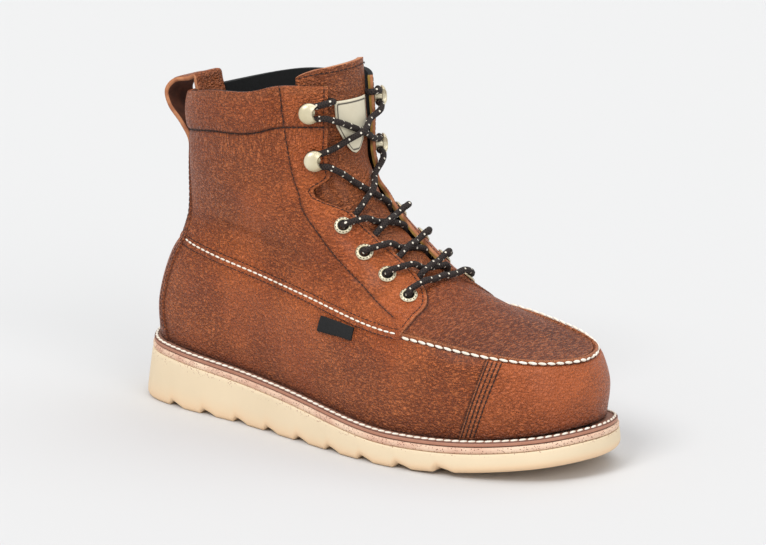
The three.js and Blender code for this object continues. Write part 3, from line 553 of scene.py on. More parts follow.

# %% [markdown]
# The leather takes one base colour and then its changes: pebbles, folds that run upright under the
# cuff and across the plug, a smoother toe, a darker foot, painted shade in the grooves and creases,
# and ridges made lighter, partly as wear and partly as painted highlight. The places come from
# fields on the corners of the upper; the tongue and the loop do without them.


# %% Leather finishes
def leather(name, mid, dark, light, region=True):
    """Oiled russet leather, with painted shade in its creases and fold lines and a painted highlight on its
    fold crests.
    """
    shader = Shader(name, 0.5, Coat_Weight=0.10, Coat_Roughness=0.28, Specular_IOR_Level=0.40)
    where = shader.place()
    patches = shader.noise(where, 26.0, 4.0)
    base = shader.mix(shader.ramp(patches, 0.35, 0.68), dark, light)
    base = shader.mix(0.78, base, mid)
    pebbles = shader.node("ShaderNodeGroup", {"Vector": where, "Scale": 760.0, "Warp": 1.8}, node_tree=grain)
    crease, height = pebbles.outputs["Crease"], pebbles.outputs["Height"]
    fine_folds = shader.noise(shader.place((420, 420, 1150), (0, 0.75, 0)), 1.0, 4.0, 0.65)
    upright_folds = shader.noise(shader.place((1050, 1050, 190)), 1.0, 4.0, 0.65)
    slack = shader.ramp(shader.noise(where, 19.0, 2.0), 0.38, 0.62)
    folds, share = fine_folds, shader.math("MULTIPLY_ADD", slack, 0.5, 0.25)
    strength = shader.ramp(slack, 0.0, 1.0, 0.75, 1.0)
    if region:
        plug, toe, front, row = (shader.field(key) for key in ("plug", "toe", "front", "row"))
        under_cuff = shader.product(shader.ramp(row, 7.9, 8.7), shader.ramp(row, 9.0, 9.3, 1.0, 0.35))
        folds = shader.mix(under_cuff, fine_folds, upright_folds)
        across = shader.noise(shader.place((1000, 230, 1000), (0.1, 0.3, 0.25)), 1.0, 4.0, 0.65)
        folds = shader.mix(plug, folds, across)
        smooth_part = shader.math("MAXIMUM", shader.product(toe, 0.6), shader.product(front, 0.35))
        strength = shader.product(strength, shader.math("SUBTRACT", 1.0, smooth_part))
        share = shader.math("MAXIMUM", share, shader.product(plug, 0.9))
        base = shader.mix(shader.product(plug, 0.75), base, PLUG_TONE)
        base = shader.mix(shader.product(toe, 0.6), base, TOE_TONE)
        low = shader.ramp(shader.field("welt_mm"), 0.0, 18.0, 0.45, 0.0)
        base = shader.mix(low, base, LOW_TONE)
    lines = shader.product(shader.ramp(folds, 0.40, 0.50, 1.0, 0.0), share)
    crest_highlight = shader.product(shader.ramp(folds, 0.50, 0.62), share)
    crease = shader.product(shader.math("MAXIMUM", shader.product(crease, 0.8), lines), strength)
    height = shader.math("SUBTRACT", shader.product(height, strength), shader.product(lines, strength))
    # Painted shade: the grain's creases and the fold lines take the dark colour
    base = shader.mix(shader.product(crease, 0.6), base, dark)
    # Painted highlight: the fold crests take the light colour
    base = shader.mix(shader.product(crest_highlight, strength, 0.5), base, light)
    if region:
        # Painted shade: the leather darkens in its seam and stitch grooves, along the cuff and lacing lines
        # and at the welt
        base = shader.mix(shader.product(shader.field("pinch"), 0.75), base, GROOVE_SHADE_TONE)
        # Ridges made lighter: partly wear, partly painted highlight
        base = shader.mix(shader.product(shader.field("worn"), 0.7), base, WEAR_AND_HIGHLIGHT_TONE)
    shine = shader.ramp(crease, 0.0, 1.0, 0.42, 0.68)
    return shader.finish(base, height, 1.0, 0.0022, shine)


def plain(name, tone, other, scale, roughness, bump=0.3, distance=0.0002, **sockets):
    """A finish with a fine mottle and a fine tooth."""
    shader = Shader(name, roughness, **sockets)
    where = shader.place()
    mottle = shader.noise(where, scale, 4.0)
    tooth = shader.noise(where, scale * 6, 3.0)
    base = shader.mix(shader.ramp(mottle, 0.3, 0.7), tone, other)
    return shader.finish(base, tooth, bump, distance)


def specks(shader, where, low, high):
    """1 on small dots, where a coarser noise lies above a level."""
    dots = shader.node("ShaderNodeTexVoronoi", {"Vector": where, "Scale": 900.0})
    near = shader.ramp(dots.outputs["Distance"], 0.18, 0.34, 1.0, 0.0)
    return shader.product(near, shader.ramp(shader.noise(where, 420.0, 1.0), low, high))


def foam_finish():
    """Foamed rubber with dark and pink specks."""
    shader = Shader("midsole rubber", 0.75)
    where = shader.place()
    mottle = shader.ramp(shader.noise(where, 60.0, 4.0), 0.3, 0.7)
    base = shader.mix(mottle, colour(232, 203, 176), colour(212, 168, 144))
    base = shader.mix(specks(shader, where, 0.36, 0.40), base, colour(120, 66, 52))
    return shader.finish(base, shader.noise(where, 700.0, 4.0), 0.35, 0.0002)


def wedge_finish():
    """Cream rubber, peach at the tread and specked under the midsole."""
    shader = Shader("wedge rubber", 0.66)
    where, level = shader.place(), shader.field("drop_mm")
    base = shader.mix(shader.noise(where, 40.0), colour(231, 211, 179), colour(222, 202, 170))
    base = shader.mix(shader.ramp(level, 0.7, 1.45, 0.75, 0.0), base, colour(236, 200, 160))
    near_top = shader.product(shader.ramp(level, 1.72, 1.98), specks(shader, where, 0.5, 0.56))
    base = shader.mix(near_top, base, colour(150, 92, 74))
    return shader.finish(base, shader.noise(where, 240.0), 0.12, 0.0002)


def welt_finish():
    """A tan edge with an inked line along its top and its bottom."""
    shader = Shader("welt leather", 0.6)
    where, drop_mm = shader.place(), shader.field("drop_mm")
    base = shader.mix(shader.noise(where, 140.0), colour(188, 136, 112), colour(160, 106, 84))
    inked = shader.math("MAXIMUM", shader.band(drop_mm, 0.25, 0.45), shader.band(drop_mm, 2.45, 0.45))
    base = shader.mix(inked, base, colour(66, 30, 22))
    return shader.finish(base, shader.noise(where, 900.0), 0.3, 0.0002)


def patch_finish():
    """Cream leather with a dark line a little inside its edge."""
    shader = Shader("patch with dark border", 0.5)
    where = shader.place()
    base = shader.mix(shader.noise(where, 90.0), colour(228, 220, 196), colour(206, 196, 168))
    base = shader.mix(shader.band(shader.field("border_mm"), 1.6, 0.75), base, colour(40, 28, 20))
    return shader.finish(base, shader.noise(where, 700.0), 0.3, 0.0002)


def lace_finish():
    """A round braided lace, nearly black, with pale flecks at even steps on two of its sides."""
    shader = Shader("lace cord", 0.8)
    run, turn = shader.field("length_mm"), shader.field("turn")
    along, slant = shader.product(run, 4.2), shader.product(turn, 12.57)
    left, right = (shader.math("SINE", shader.math(sign, along, slant)) for sign in ("ADD", "SUBTRACT"))
    weave = shader.math("MAXIMUM", left, right)
    base = shader.mix(shader.ramp(weave, -0.4, 0.9), colour(14, 9, 8), colour(46, 33, 28))
    tracks = shader.product(turn, 2.0)
    track = shader.math("MINIMUM", shader.math("FLOOR", tracks), 1.0)
    steps = shader.math("ADD", shader.math("DIVIDE", run, 7.4), shader.product(track, 0.5))
    fleck = shader.product(shader.band(shader.math("FRACT", steps), 0.5, 0.11),
                           shader.band(shader.math("FRACT", tracks), 0.5, 0.36))
    base = shader.mix(shader.ramp(fleck, 0.2, 0.45), base, colour(240, 232, 214))
    return shader.finish(base, weave, 0.7, 0.0004)


PLUG_TONE, TOE_TONE, LOW_TONE = colour(128, 60, 27), colour(168, 84, 38), colour(100, 42, 18)
# Next, a painted shade tone for the grooves, and a lighter tone for the ridges that is partly wear and partly
# painted highlight
GROOVE_SHADE_TONE, WEAR_AND_HIGHLIGHT_TONE = colour(50, 20, 11), colour(190, 118, 74)
russet = leather("russet leather", colour(198, 98, 42), colour(102, 42, 17), colour(220, 132, 74))
tongue_leather = leather("tongue leather", colour(184, 98, 50), colour(98, 42, 20), colour(214, 132, 80),
                         region=False)
cut_leather = plain("cut leather edge", colour(196, 132, 90), colour(158, 94, 60), 160.0, 0.75)
flesh_edge = plain("lining edge", colour(176, 140, 62), colour(120, 84, 44), 120.0, 0.85)
loop_inside = plain("flesh side", colour(96, 52, 32), colour(70, 36, 22), 160.0, 0.9)
black_lining = plain("black lining", colour(9, 11, 12), colour(16, 18, 19), 900.0, 0.9, 0.5)
white_thread = plain("white thread", colour(246, 240, 228), colour(232, 220, 200), 500.0, 0.7, 0.5)
dark_thread = plain("dark thread", colour(44, 18, 11), colour(26, 10, 7), 500.0, 0.7, 0.5)
wedge = wedge_finish()
midsole_rubber = foam_finish()
welt_leather = welt_finish()
insole_board = plain("insole cloth", colour(44, 42, 40), colour(28, 27, 26), 700.0, 0.9)
tag_cloth = plain("tag cloth", colour(9, 9, 10), colour(18, 18, 19), 1400.0, 0.9, 0.6)
patch_leather = patch_finish()
nickel = plain("pale nickel", colour(226, 216, 188), colour(206, 194, 160), 60.0, 0.32, 0.1, Metallic=0.35)
# Dark finish for the eyelet's ring of dots, and painted shade in its hole
hole_shade_and_dots = plain("eyelet dots and hole shade", colour(40, 30, 24), colour(24, 18, 14), 200.0, 0.6)
lace_cord = lace_finish()
print("materials", len(bpy.data.materials))

# %% [markdown]
# ## Camera and light
# The camera stands where the photograph was taken from, with a long lens. Three broad far lights,
# from the front, the right and above, and a pale world give the even light of a studio.

# %% Camera, light and floor
AZIMUTH, ELEVATION, DISTANCE = math.radians(39), math.radians(14.3), 2.5
target = Vector(metres([150.0, 0.0, 80.0]))
back = Vector((math.sin(AZIMUTH) * math.cos(ELEVATION), -math.cos(AZIMUTH) * math.cos(ELEVATION),
               math.sin(ELEVATION)))
IMAGE_WIDTH, IMAGE_HEIGHT, FOCAL_PIXELS = 766, 545, 4550
LENS_AXIS = (367.6, 285.3)
camera_data = bpy.data.cameras.new("camera")
camera_data.sensor_width = 36
camera_data.lens = FOCAL_PIXELS / IMAGE_WIDTH * camera_data.sensor_width
camera_data.shift_x = (IMAGE_WIDTH / 2 - LENS_AXIS[0]) / IMAGE_WIDTH
camera_data.shift_y = (LENS_AXIS[1] - IMAGE_HEIGHT / 2) / IMAGE_WIDTH
camera = bpy.data.objects.new("camera", camera_data)
camera.location = target + back * DISTANCE
camera.rotation_euler = back.to_track_quat("Z", "Y").to_euler()
bpy.context.scene.collection.objects.link(camera)
bpy.context.scene.camera = camera


def soft_light(name, place, strength, angle):
    """A broad far light, shining from a place towards the boot."""
    data = bpy.data.lights.new(name, "SUN")
    data.energy = strength
    data.angle = math.radians(angle)
    lamp = bpy.data.objects.new(name, data)
    lamp.location = place
    lamp.rotation_euler = (Vector(place) - Vector((0, 0, 0.08))).to_track_quat("Z", "Y").to_euler()
    bpy.context.scene.collection.objects.link(lamp)
    return lamp


soft_light("key light", (-0.1, -1.1, 1.35), 1.6, 25)
soft_light("fill light", (1.5, -0.6, 0.9), 0.9, 35)
soft_light("top light", (0.1, 0.4, 1.7), 1.1, 60)
world = bpy.data.worlds.new("studio")
world.use_nodes = True
world.node_tree.nodes["Background"].inputs["Color"].default_value = (0.93, 0.94, 0.95, 1)
world.node_tree.nodes["Background"].inputs["Strength"].default_value = 0.62
bpy.context.scene.world = world

floor_bm = bmesh.new()
bmesh.ops.create_grid(floor_bm, x_segments=1, y_segments=1, size=6)
floor_mesh = bpy.data.meshes.new("floor")
floor_bm.to_mesh(floor_mesh)
floor_bm.free()
floor_shader = Shader("pale floor", 0.9)
floor_shader.surface.inputs["Base Color"].default_value = (0.62, 0.62, 0.62, 1)
floor_mesh.materials.append(floor_shader.material)
floor = bpy.data.objects.new("floor", floor_mesh)
bpy.context.scene.collection.objects.link(floor)
bpy.context.scene.view_settings.view_transform = "Standard"
print("camera", tuple(round(v, 3) for v in camera.location))

# %% [markdown]
# ## The upper
# The real upper is cut from several skins: toe panel, vamp plug, quarters with the eyelet stays,
# backstay and padded cuff. Loose panels would hide each other's edges, so one sheet is laid on the
# last and each panel's edge is a step in it, where columns and rows lie close together.


# %% Rows and columns of the upper
def spread(*stops):
    """Levels from (end, count) stops, each span evenly divided."""
    levels = [stops[0]]
    for end, count in stops[1:]:
        levels.extend(np.linspace(levels[-1], end, count + 1)[1:])
    return np.array(levels)


NOTCH_STATIONS, NOTCH_DEPTHS = [7.05, 7.2, 7.47, 7.8], [0, 15.4, 14.6, 0]
NOTCH_ROUNDING, NOTCH_FADE = 0.09, 0.3


def notch(station):
    """How far the throat edge draws back in its notch, rounded at the turns."""
    near = [np.interp(station + shift, NOTCH_STATIONS, NOTCH_DEPTHS)
            for shift in np.linspace(-NOTCH_ROUNDING, NOTCH_ROUNDING, 9)]
    return np.mean(near, axis=0)


def round_the_last(rows, one_side):
    """Stations, columns, sides, places and outward directions of a sheet round the whole last."""
    both = np.concatenate([one_side[::-1], one_side[1:]])
    signs = np.concatenate([-np.ones(len(one_side)), np.ones(len(one_side) - 1)]).astype(int)
    stations, columns = np.meshgrid(rows, both, indexing="ij")
    signs = np.broadcast_to(signs, stations.shape)
    fade = 1 - ease((columns - EDGE) / NOTCH_FADE)
    inset = np.where(columns >= EDGE - 1e-9, notch(stations) * fade, 0.0)
    places = on_last(stations, signs, columns, inset)
    normals = sheet_normals(places, wrap=True)
    if np.mean(np.sum((places - places.mean(axis=(0, 1))) * normals, axis=-1)) < 0:
        normals = -normals
    return stations, columns, signs, places, normals


def open_throat(bm, outside):
    """Cuts the throat out of a sheet round the last and turns its faces to one side."""
    row, column = (bm.verts.layers.float[key] for key in ("row", "column"))
    opened = [face for face in bm.faces
              if min(v[row] for v in face.verts) >= THROAT - 1e-4
              and max(v[column] for v in face.verts) <= EDGE + 1e-6]
    bmesh.ops.delete(bm, geom=opened, context="FACES")
    bmesh.ops.remove_doubles(bm, verts=bm.verts, dist=0.01)
    bm.normal_update()
    foremost = max(bm.faces, key=lambda face: face.calc_center_median().x)
    if (foremost.normal.x > 0) != outside:
        bmesh.ops.reverse_faces(bm, faces=bm.faces)


side_columns = spread(
    0.0, (CAP - 0.030, 22), (CAP - 0.004, 26), (CAP + 0.004, 10), (EDGE - 0.004, 24), (EDGE, 5),
    (EDGE + 0.004, 3), (STAY - 0.004, 98), (STAY + 0.004, 8), (1.0, 17))
side_rows = spread(
    0.0, (2.7, 29), (3.0, 14), (3.1, 10), (3.35, 9), (6.0, 42), (6.98, 14), (7.9, 34), (8.88, 12),
    (9.12, 8), (10.0, 16))
station_grid, column_grid, sign_grid, base, normals = round_the_last(side_rows, side_columns)
print("rows and columns", station_grid.shape)

# %% [markdown]
# Distances from the seams are kept in millimetres on every corner, positive on one side and
# negative on the other. They place the steps of the panels, the stitches and the burnished lines.


# %% Distances from the seams
def running(places, axis, level):
    """Signed distance along a row or a column from one of its lines."""
    step = np.linalg.norm(np.diff(places, axis=axis), axis=-1)
    total = np.cumsum(step, axis=axis)
    zero = np.zeros_like(np.take(total, [0], axis=axis))
    total = np.concatenate([zero, total], axis=axis)
    return total - np.take(total, [level], axis=axis)


def line_index(levels, value):
    return int(np.argmin(np.abs(levels - value)))


seam_mm = running(base, 0, line_index(side_rows, SEAM))
cuff_mm = running(base, 0, line_index(side_rows, CUFF))
welt_mm = running(base, 0, 0)
middle_column = len(side_columns) - 1


def both_sides(value):
    """Distance behind a column's line on either side of the upper."""
    left = running(base, 1, middle_column - line_index(side_columns, value))
    right = running(base, 1, middle_column + line_index(side_columns, value))
    return np.where(sign_grid < 0, -left, right)


cap_mm = both_sides(CAP)
edge_mm = both_sides(EDGE)
stay_mm = both_sides(STAY)

# The stitched line of the eyelet stay, as a column at each station
STAY_LINE = [
    (3.3, 0.228), (3.69, 0.257), (4.03, 0.292), (4.71, 0.354), (5.4, 0.394), (6.15, 0.416),
    (6.6, 0.398), (6.83, 0.385), (7.4, 0.354), (8.14, 0.343), (8.88, 0.357), (9.4, 0.366),
    (10.0, 0.374),
]


def lacing_line(station):
    stations, line = zip(*STAY_LINE)
    return curve_at(stations, line, np.clip(station, stations[0], stations[-1]))


def near_line(places, line):
    """Distance of every place from a finely sampled line."""
    tree, flat = finder(line), places.reshape(-1, 3)
    return np.array([tree.find(point)[2] for point in flat]).reshape(places.shape[:-1])


line_stations = np.linspace(3.3, 10, 500)
lacing_mm = np.full(station_grid.shape, 60.0)
for sign in (-1, 1):
    line = on_last(line_stations, sign, lacing_line(line_stations))
    here = sign_grid == sign
    lacing_mm[here] = near_line(base[here], resample(line, 0.4))
lacing_mm *= np.where(column_grid < lacing_line(station_grid), -1, 1)
print("distances from the cuff", cuff_mm.min().round(), "to", cuff_mm.max().round())

# %% [markdown]
# Every panel edge, seam and fold is a small lift of the leather off the last, in millimetres. The
# moccasin seam is a ridge between two grooves, and the cuff is a padded roll.


# %% Steps, roll and soft creases
def step_up(distance, width=0.6):
    """A rounded step over a given width, 0 before the line and 1 behind it."""
    return ease(distance / width)


def plateau(distance, low, high, soft):
    return ease((distance - low) / soft) * ease((high - distance) / soft)


above = station_grid >= SEAM
quarter = ease((column_grid - EDGE + 0.0012) / 0.0012)
toe_seam = (1.1 * plateau(seam_mm, -0.5, 1.5, 0.5) - 0.3 * hump(seam_mm + 1.2, 0.6)
            - 0.5 * hump(seam_mm - 1.8, 0.4) + 0.45 * hump(seam_mm - 2.7, 0.5))
side_strip = 0.95 * plateau(seam_mm, -3.3, 3.3, 0.7) - 0.35 * hump(seam_mm, 0.7)
lift = toe_seam * (1 - quarter) + side_strip * quarter
lift += np.where(above, OVERLAY * quarter * ease((seam_mm - 2.4) / 1.2), 0)
lift += np.where(~above, OVERLAY * step_up(-cap_mm) * ease((-seam_mm - 1.6) / 1.4), 0)
lift += OVERLAY * step_up(stay_mm, 0.7) * (1 - ease((station_grid - 8.8) / 0.2))
pad = ease((lacing_mm - 1) / 7)
roll = np.clip((station_grid - CUFF) / (COLLAR - CUFF), 0, 1)
lift += np.where(station_grid > CUFF, pad * 2.4 * np.sin(np.pi * np.clip(roll * 0.92 + 0.04, 0, 1)) ** 0.6, 0)
lift -= 0.55 * hump(cuff_mm, 1.0)
lift -= 0.3 * hump(lacing_mm, 0.9) * (station_grid > 3.4)

# Creases: place, direction, half length, width, depth (negative is a ridge), in mm
CREASES = [
    ((86, -40, 118), (0.9, 0, -0.45), 26, 6.0, 0.9), ((94, -40, 127), (0.95, 0, -0.3), 22, 5.0, -0.5),
    ((70, -34, 104), (0.85, 0, -0.5), 22, 6.0, 0.6), ((104, -38, 140), (1.0, 0, -0.1), 24, 7.0, 0.6),
    ((86, 38, 118), (0.9, 0, -0.45), 26, 6.0, 0.9), ((70, 34, 104), (0.85, 0, -0.5), 22, 6.0, 0.6),
    ((104, 37, 140), (1.0, 0, -0.1), 24, 7.0, 0.6), ((24, 0, 128), (0, 1, 0), 16, 6.0, 0.8),
    ((212, -12, 85), (0.25, 1, 0.1), 20, 3.0, 0.45), ((222, -6, 82), (0.2, 1, 0.05), 22, 3.0, 0.4),
    ((232, 4, 80), (0.15, 1, 0.0), 20, 3.2, 0.35), ((205, 14, 88), (-0.2, 1, 0.0), 16, 3.0, 0.4),
    ((190, -50, 44), (1, 0, 0.12), 24, 6.0, 0.5), ((205, -50, 36), (1, 0, 0.0), 20, 5.0, 0.4),
    ((190, 45, 44), (1, 0, 0.12), 24, 6.0, 0.5), ((44, -33, 62), (1, 0, 0.2), 18, 8.0, 0.5),
]
crease_depth = np.zeros_like(lift)
for place, along, reach, width, depth in CREASES:
    direction = Vector(along).normalized()
    away = base - np.array(place, float)
    on = away @ np.array(direction)
    off = np.linalg.norm(away - on[..., None] * np.array(direction), axis=-1)
    crease_depth += depth * hump(off, width) * hump(on, reach)
lift -= 1.5 * crease_depth
surface = base + normals * lift[..., None]
print("lift from", lift.min().round(2), "to", lift.max().round(2))

# %% [markdown]
# The lifted corners become one sheet. Two fields keep where the finish paints shade into the grooves
# and seams, and where it makes the ridges lighter, partly as rubbed wear and partly as painted highlight.

# %% The outer sheet
# Painted shade in the grooves: the colour darkens along the seams, the stitch rows, the cuff, the lacing
# line, the edges and the welt
pinch = np.maximum.reduce([
    hump(seam_mm + 1.5, 0.7) * (1 - quarter) * 0.9, hump(seam_mm - 1.9, 0.35) * (1 - quarter),
    hump(cuff_mm, 0.9) * 0.9, hump(cap_mm - 0.4, 0.6) * (~above), hump(stay_mm + 0.3, 0.7) * 0.8,
    0.8 * sum(hump(cap_mm + at, 0.45) for at in (1.3, 3.65, 6.0, 8.35)) * (~above) * (seam_mm < -1.5),
    hump(welt_mm, 2.0), 0.95 * hump(lacing_mm, 0.6) * (station_grid > 3.7),
    0.5 * hump(edge_mm - 2.3, 0.5) * (station_grid > 3.3),
    hump(edge_mm + 0.6, 0.6) * above * (station_grid < THROAT),
])
# Lighter ridges, partly rubbed wear and partly painted highlight: seam ridges, panel edges, between the toe
# stitch rows and the top of the collar roll
worn = np.maximum.reduce([
    plateau(seam_mm, -0.4, 1.5, 0.4) * (1 - quarter), 0.9 * hump(seam_mm - 2.7, 0.45) * (1 - quarter),
    0.9 * plateau(edge_mm, -0.2, 1.0, 0.3) * above * (station_grid < THROAT),
    0.8 * plateau(cap_mm, -0.9, 0.1, 0.3) * (~above),
    0.6 * sum(hump(cap_mm + at, 0.5) for at in (2.5, 4.8, 7.2)) * (~above) * (seam_mm < -1.5),
    0.35 * hump(station_grid - 9.9, 0.12) * (edge_mm > 0),
    0.4 * plateau(edge_mm, -0.2, 1.0, 0.4) * (station_grid >= THROAT),
])
fields = {
    "plug": ((column_grid < EDGE) & (seam_mm > 2)) * (0.6 + 0.4 * ease((base[..., 0] - 195) / 60)),
    "toe": ((column_grid < CAP) & (seam_mm < -0.5)).astype(float),
    "front": ease((2.0 - lacing_mm) / 6) * (column_grid > EDGE) * (station_grid > 3.3),
    "welt_mm": welt_mm, "pinch": np.clip(pinch, 0, 1), "worn": np.clip(worn, 0, 1),
    "row": station_grid, "column": column_grid, "side": sign_grid.astype(float),
}
upper = grid_sheet(surface, fields)
row_layer, column_layer = upper.verts.layers.float["row"], upper.verts.layers.float["column"]
side_layer = upper.verts.layers.float["side"]
open_throat(upper, True)
print("upper corners", len(upper.verts))

# %% [markdown]
# The open rim is extruded twice towards the foot: first the cut edge of the leather, then the edge
# of the lining. Along the collar the leather rolls over the padding instead.

# %% Cut edges of the throat and the roll of the collar
inner_of = {}
flat_surface, flat_normals, flat_lift = surface.reshape(-1, 3), normals.reshape(-1, 3), lift.reshape(-1)
surface_finder = finder(flat_surface)
rim = [edge for edge in upper.edges
       if edge.is_boundary and max(v[row_layer] for v in edge.verts) > THROAT - 0.01]


def rounded_place(place):
    return tuple(round(c, 3) for c in place)


for share, slot_index in ((0.55, 1), (1.0, 2)):
    made = bmesh.ops.extrude_edge_only(upper, edges=rim)
    rim = []
    for item in made["geom"]:
        if isinstance(item, bmesh.types.BMVert):
            source = item.co.copy()
            index = surface_finder.find(source)[1] if share < 1 else inner_of[rounded_place(source)]
            depth = (WALL + flat_lift[index]) * share
            item.co = Vector(flat_surface[index] - flat_normals[index] * depth)
            inner_of[rounded_place(item.co)] = index
    for item in made["geom"]:
        if isinstance(item, bmesh.types.BMFace):
            at_collar = min(v[row_layer] for v in item.verts) > COLLAR - 0.01
            rolled = at_collar and min(v[column_layer] for v in item.verts) > EDGE + 0.01
            near_side = min(v[side_layer] for v in item.verts) < 0
            item.material_index = (0 if slot_index == 1 and near_side else 3) if rolled else slot_index
        elif isinstance(item, bmesh.types.BMEdge) and item.is_boundary and all(
                rounded_place(v.co) in inner_of for v in item.verts):
            rim.append(item)
piece("boot_upper", upper, [russet, cut_leather, flesh_edge, black_lining], ["upper"])

# %% [markdown]
# ## Lining
# The inside of the shaft is a black cloth. It is a plain sheet a wall's thickness inside the same
# last, so that it meets the cut edges of the leather.

# %% The lining
lining_columns = spread(0.0, (EDGE, 16), (STAY, 50), (1.0, 9))
lining_rows = spread(0.05, (SEAM, 14), (THROAT, 16), (COLLAR, 40))
rows_in, columns_in, _, inside, inside_normals = round_the_last(lining_rows, lining_columns)
inside = inside - inside_normals * (WALL + 0.02)
lining = grid_sheet(inside, {"row": rows_in, "column": columns_in})
open_throat(lining, False)
piece("shaft_lining", lining, [black_lining])

# %% [markdown]
# ## Places on the front
# Tongue and lace are measured from the centre line of the boot's front, to the outer side with
# negative distances and to the inner side with positive ones.


# %% Places on the front
def front_place(station, distance, height=0.0):
    station, distance, height = np.broadcast_arrays(
        np.asarray(station, float), np.asarray(distance, float), np.asarray(height, float))
    sign = np.where(distance < 0, -1, 1)
    away = np.abs(distance)
    normal = outward(np.minimum(station, COLLAR - 0.05), sign, np.zeros_like(away), np.maximum(away, 1.5))
    flatten = np.stack([np.ones_like(away), np.minimum(away / 6, 1), np.ones_like(away)], axis=-1)
    normal = normal * flatten
    normal /= np.linalg.norm(normal, axis=-1, keepdims=True)
    return on_last(station, sign, np.zeros_like(away), away) + normal * height[..., None]


def throat_half(station):
    """Distance from the centre line to the throat edge."""
    rings = np.array([column_run(i, -1, EDGE) for i in range(len(RINGS))])
    return np.interp(np.minimum(station, COLLAR), np.arange(len(RINGS)), rings)


print("half width of the throat", throat_half([THROAT, CUFF]).round(1))

# %% [markdown]
# ## Tongue
# The tongue is padded leather under the throat. A sheet on the front of the last gets thickness,
# soft quilting between its seams, and dents where the lace runs hidden under the quarters.

# %% The tongue
TONGUE_UNDERLAP, TONGUE_CLEARANCE, TONGUE_THICKNESS = 13.0, 1.3, 3.0
TONGUE_DRIFT, TONGUE_PEAK, TONGUE_TOP = 5.0, 0.3, 10.5
EYELETS = [(5.08, 10.4), (5.87, 18.93), (6.31, 20.8), (6.75, 13.52)]
HOOKS = [(8.22, 6.86), (9.37, 10.19)]


def drift(station):
    """How far the tongue has slid to the outer side."""
    return TONGUE_DRIFT * ease((np.asarray(station, float) - THROAT - 1) / 2.5)


def tongue_arc(shares):
    """How high the round top of the tongue stands across it, 1 at its peak."""
    outer = (shares - TONGUE_PEAK) / (1 + TONGUE_PEAK)
    inner = np.clip((shares - TONGUE_PEAK) / (1 - TONGUE_PEAK), 0, 1)
    return np.where(shares < TONGUE_PEAK, np.sqrt(1 - 0.9 * outer ** 2), np.sqrt(1 - 0.8 * inner ** 5))


tongue_rows = spread(5.5, (6.3, 12), (10.0, 66), (TONGUE_TOP, 12))
tongue_shares = np.sin(np.linspace(-1, 1, 57) * math.pi / 2) * 0.35 + np.linspace(-1, 1, 57) * 0.65
t_rows, t_shares = np.meshgrid(tongue_rows, tongue_shares, indexing="ij")
t_stations = np.where(t_rows > COLLAR, COLLAR + (t_rows - COLLAR) * tongue_arc(t_shares), t_rows)
t_half = throat_half(t_rows)
t_distance = t_shares * (t_half + TONGUE_UNDERLAP + 5 * hump(t_rows - 7.4, 0.6)) - drift(t_rows)
relief = 0.5 * np.sin(t_rows * 5.0 + 2 * t_shares) * hump(t_shares, 0.6) * (t_rows < 9.8)
relief += 0.35 * np.sin(t_rows * 11.0 - 3 * t_shares) * hump(t_shares - 0.2, 0.5) * (t_rows < 8.6)
relief -= 0.8 * hump(np.abs(t_distance) - t_half - 4, 3)
for station, inset in EYELETS[1:]:
    for side in (-1, 1):
        row_gap = (t_rows - station - 0.12) / 0.16
        relief -= 2.4 * np.exp(-row_gap ** 2) * ease((t_distance * side - t_half + 5) / 6)
tongue_face = front_place(t_stations, t_distance, relief - WALL - GAP - TONGUE_CLEARANCE)
tongue = grid_sheet(tongue_face)
tongue.normal_update()
centre_face = min(tongue.faces, key=lambda face: abs(face.calc_center_median().y)
                  + abs(face.calc_center_median().z - 150))
if centre_face.normal.x < 0:
    bmesh.ops.reverse_faces(tongue, faces=tongue.faces)
bmesh.ops.solidify(tongue, geom=list(tongue.faces), thickness=TONGUE_THICKNESS)
for face in tongue.faces:
    if len(face.verts) == 4 and any(edge.calc_face_angle(0) > 1.0 for edge in face.edges):
        centre = face.calc_center_median()
        if abs(face.normal.z) > 0.6 and centre.z > 185:
            face.material_index = 1
piece("boot_tongue", tongue, [tongue_leather, cut_leather], ["tongue"])

# %% [markdown]
# ## Stitches
# Each row of thread is a line on the finished leather. The nearest corner of the upper gives the
# height and the direction, so every stitch lies on the step or roll that it crosses.


# %% Lines on the upper
def surface_point(station, sign, column, inset=0.0):
    """Places on the finished leather and the direction out of it."""
    place = on_last(station, sign, column, inset)
    found = [base_finder.find_n(point, 4) for point in place]
    heights = []
    for group in found:
        weights = np.array([1 / (item[2] + 0.05) for item in group])
        heights.append(sum(w * flat_lift[item[1]] for w, item in zip(weights, group)) / weights.sum())
    direction = outward(np.clip(station, 0.05, 9.95), sign, column, inset)
    return place + direction * np.array(heights)[:, None], direction


base_finder = finder(base.reshape(-1, 3))


def offset_line(stations, sign, columns_at, along=0.0, inset=0.0):
    """A line on the leather, moved up the rows by a distance in mm."""
    stations = np.asarray(stations, float)
    if along:
        low = on_last(stations - 0.02, sign, columns_at, inset)
        high = on_last(stations + 0.02, sign, columns_at, inset)
        stations = stations + along * 0.04 / np.linalg.norm(high - low, axis=-1)
    return surface_point(stations, sign, columns_at, inset)


def sew(thread, line, height, pitch, length, radius, cant=0.0):
    """A row of stitches a little above a line on the leather."""
    path, up = line
    return stitches(thread, path + up * height, up, pitch, length, radius, cant)


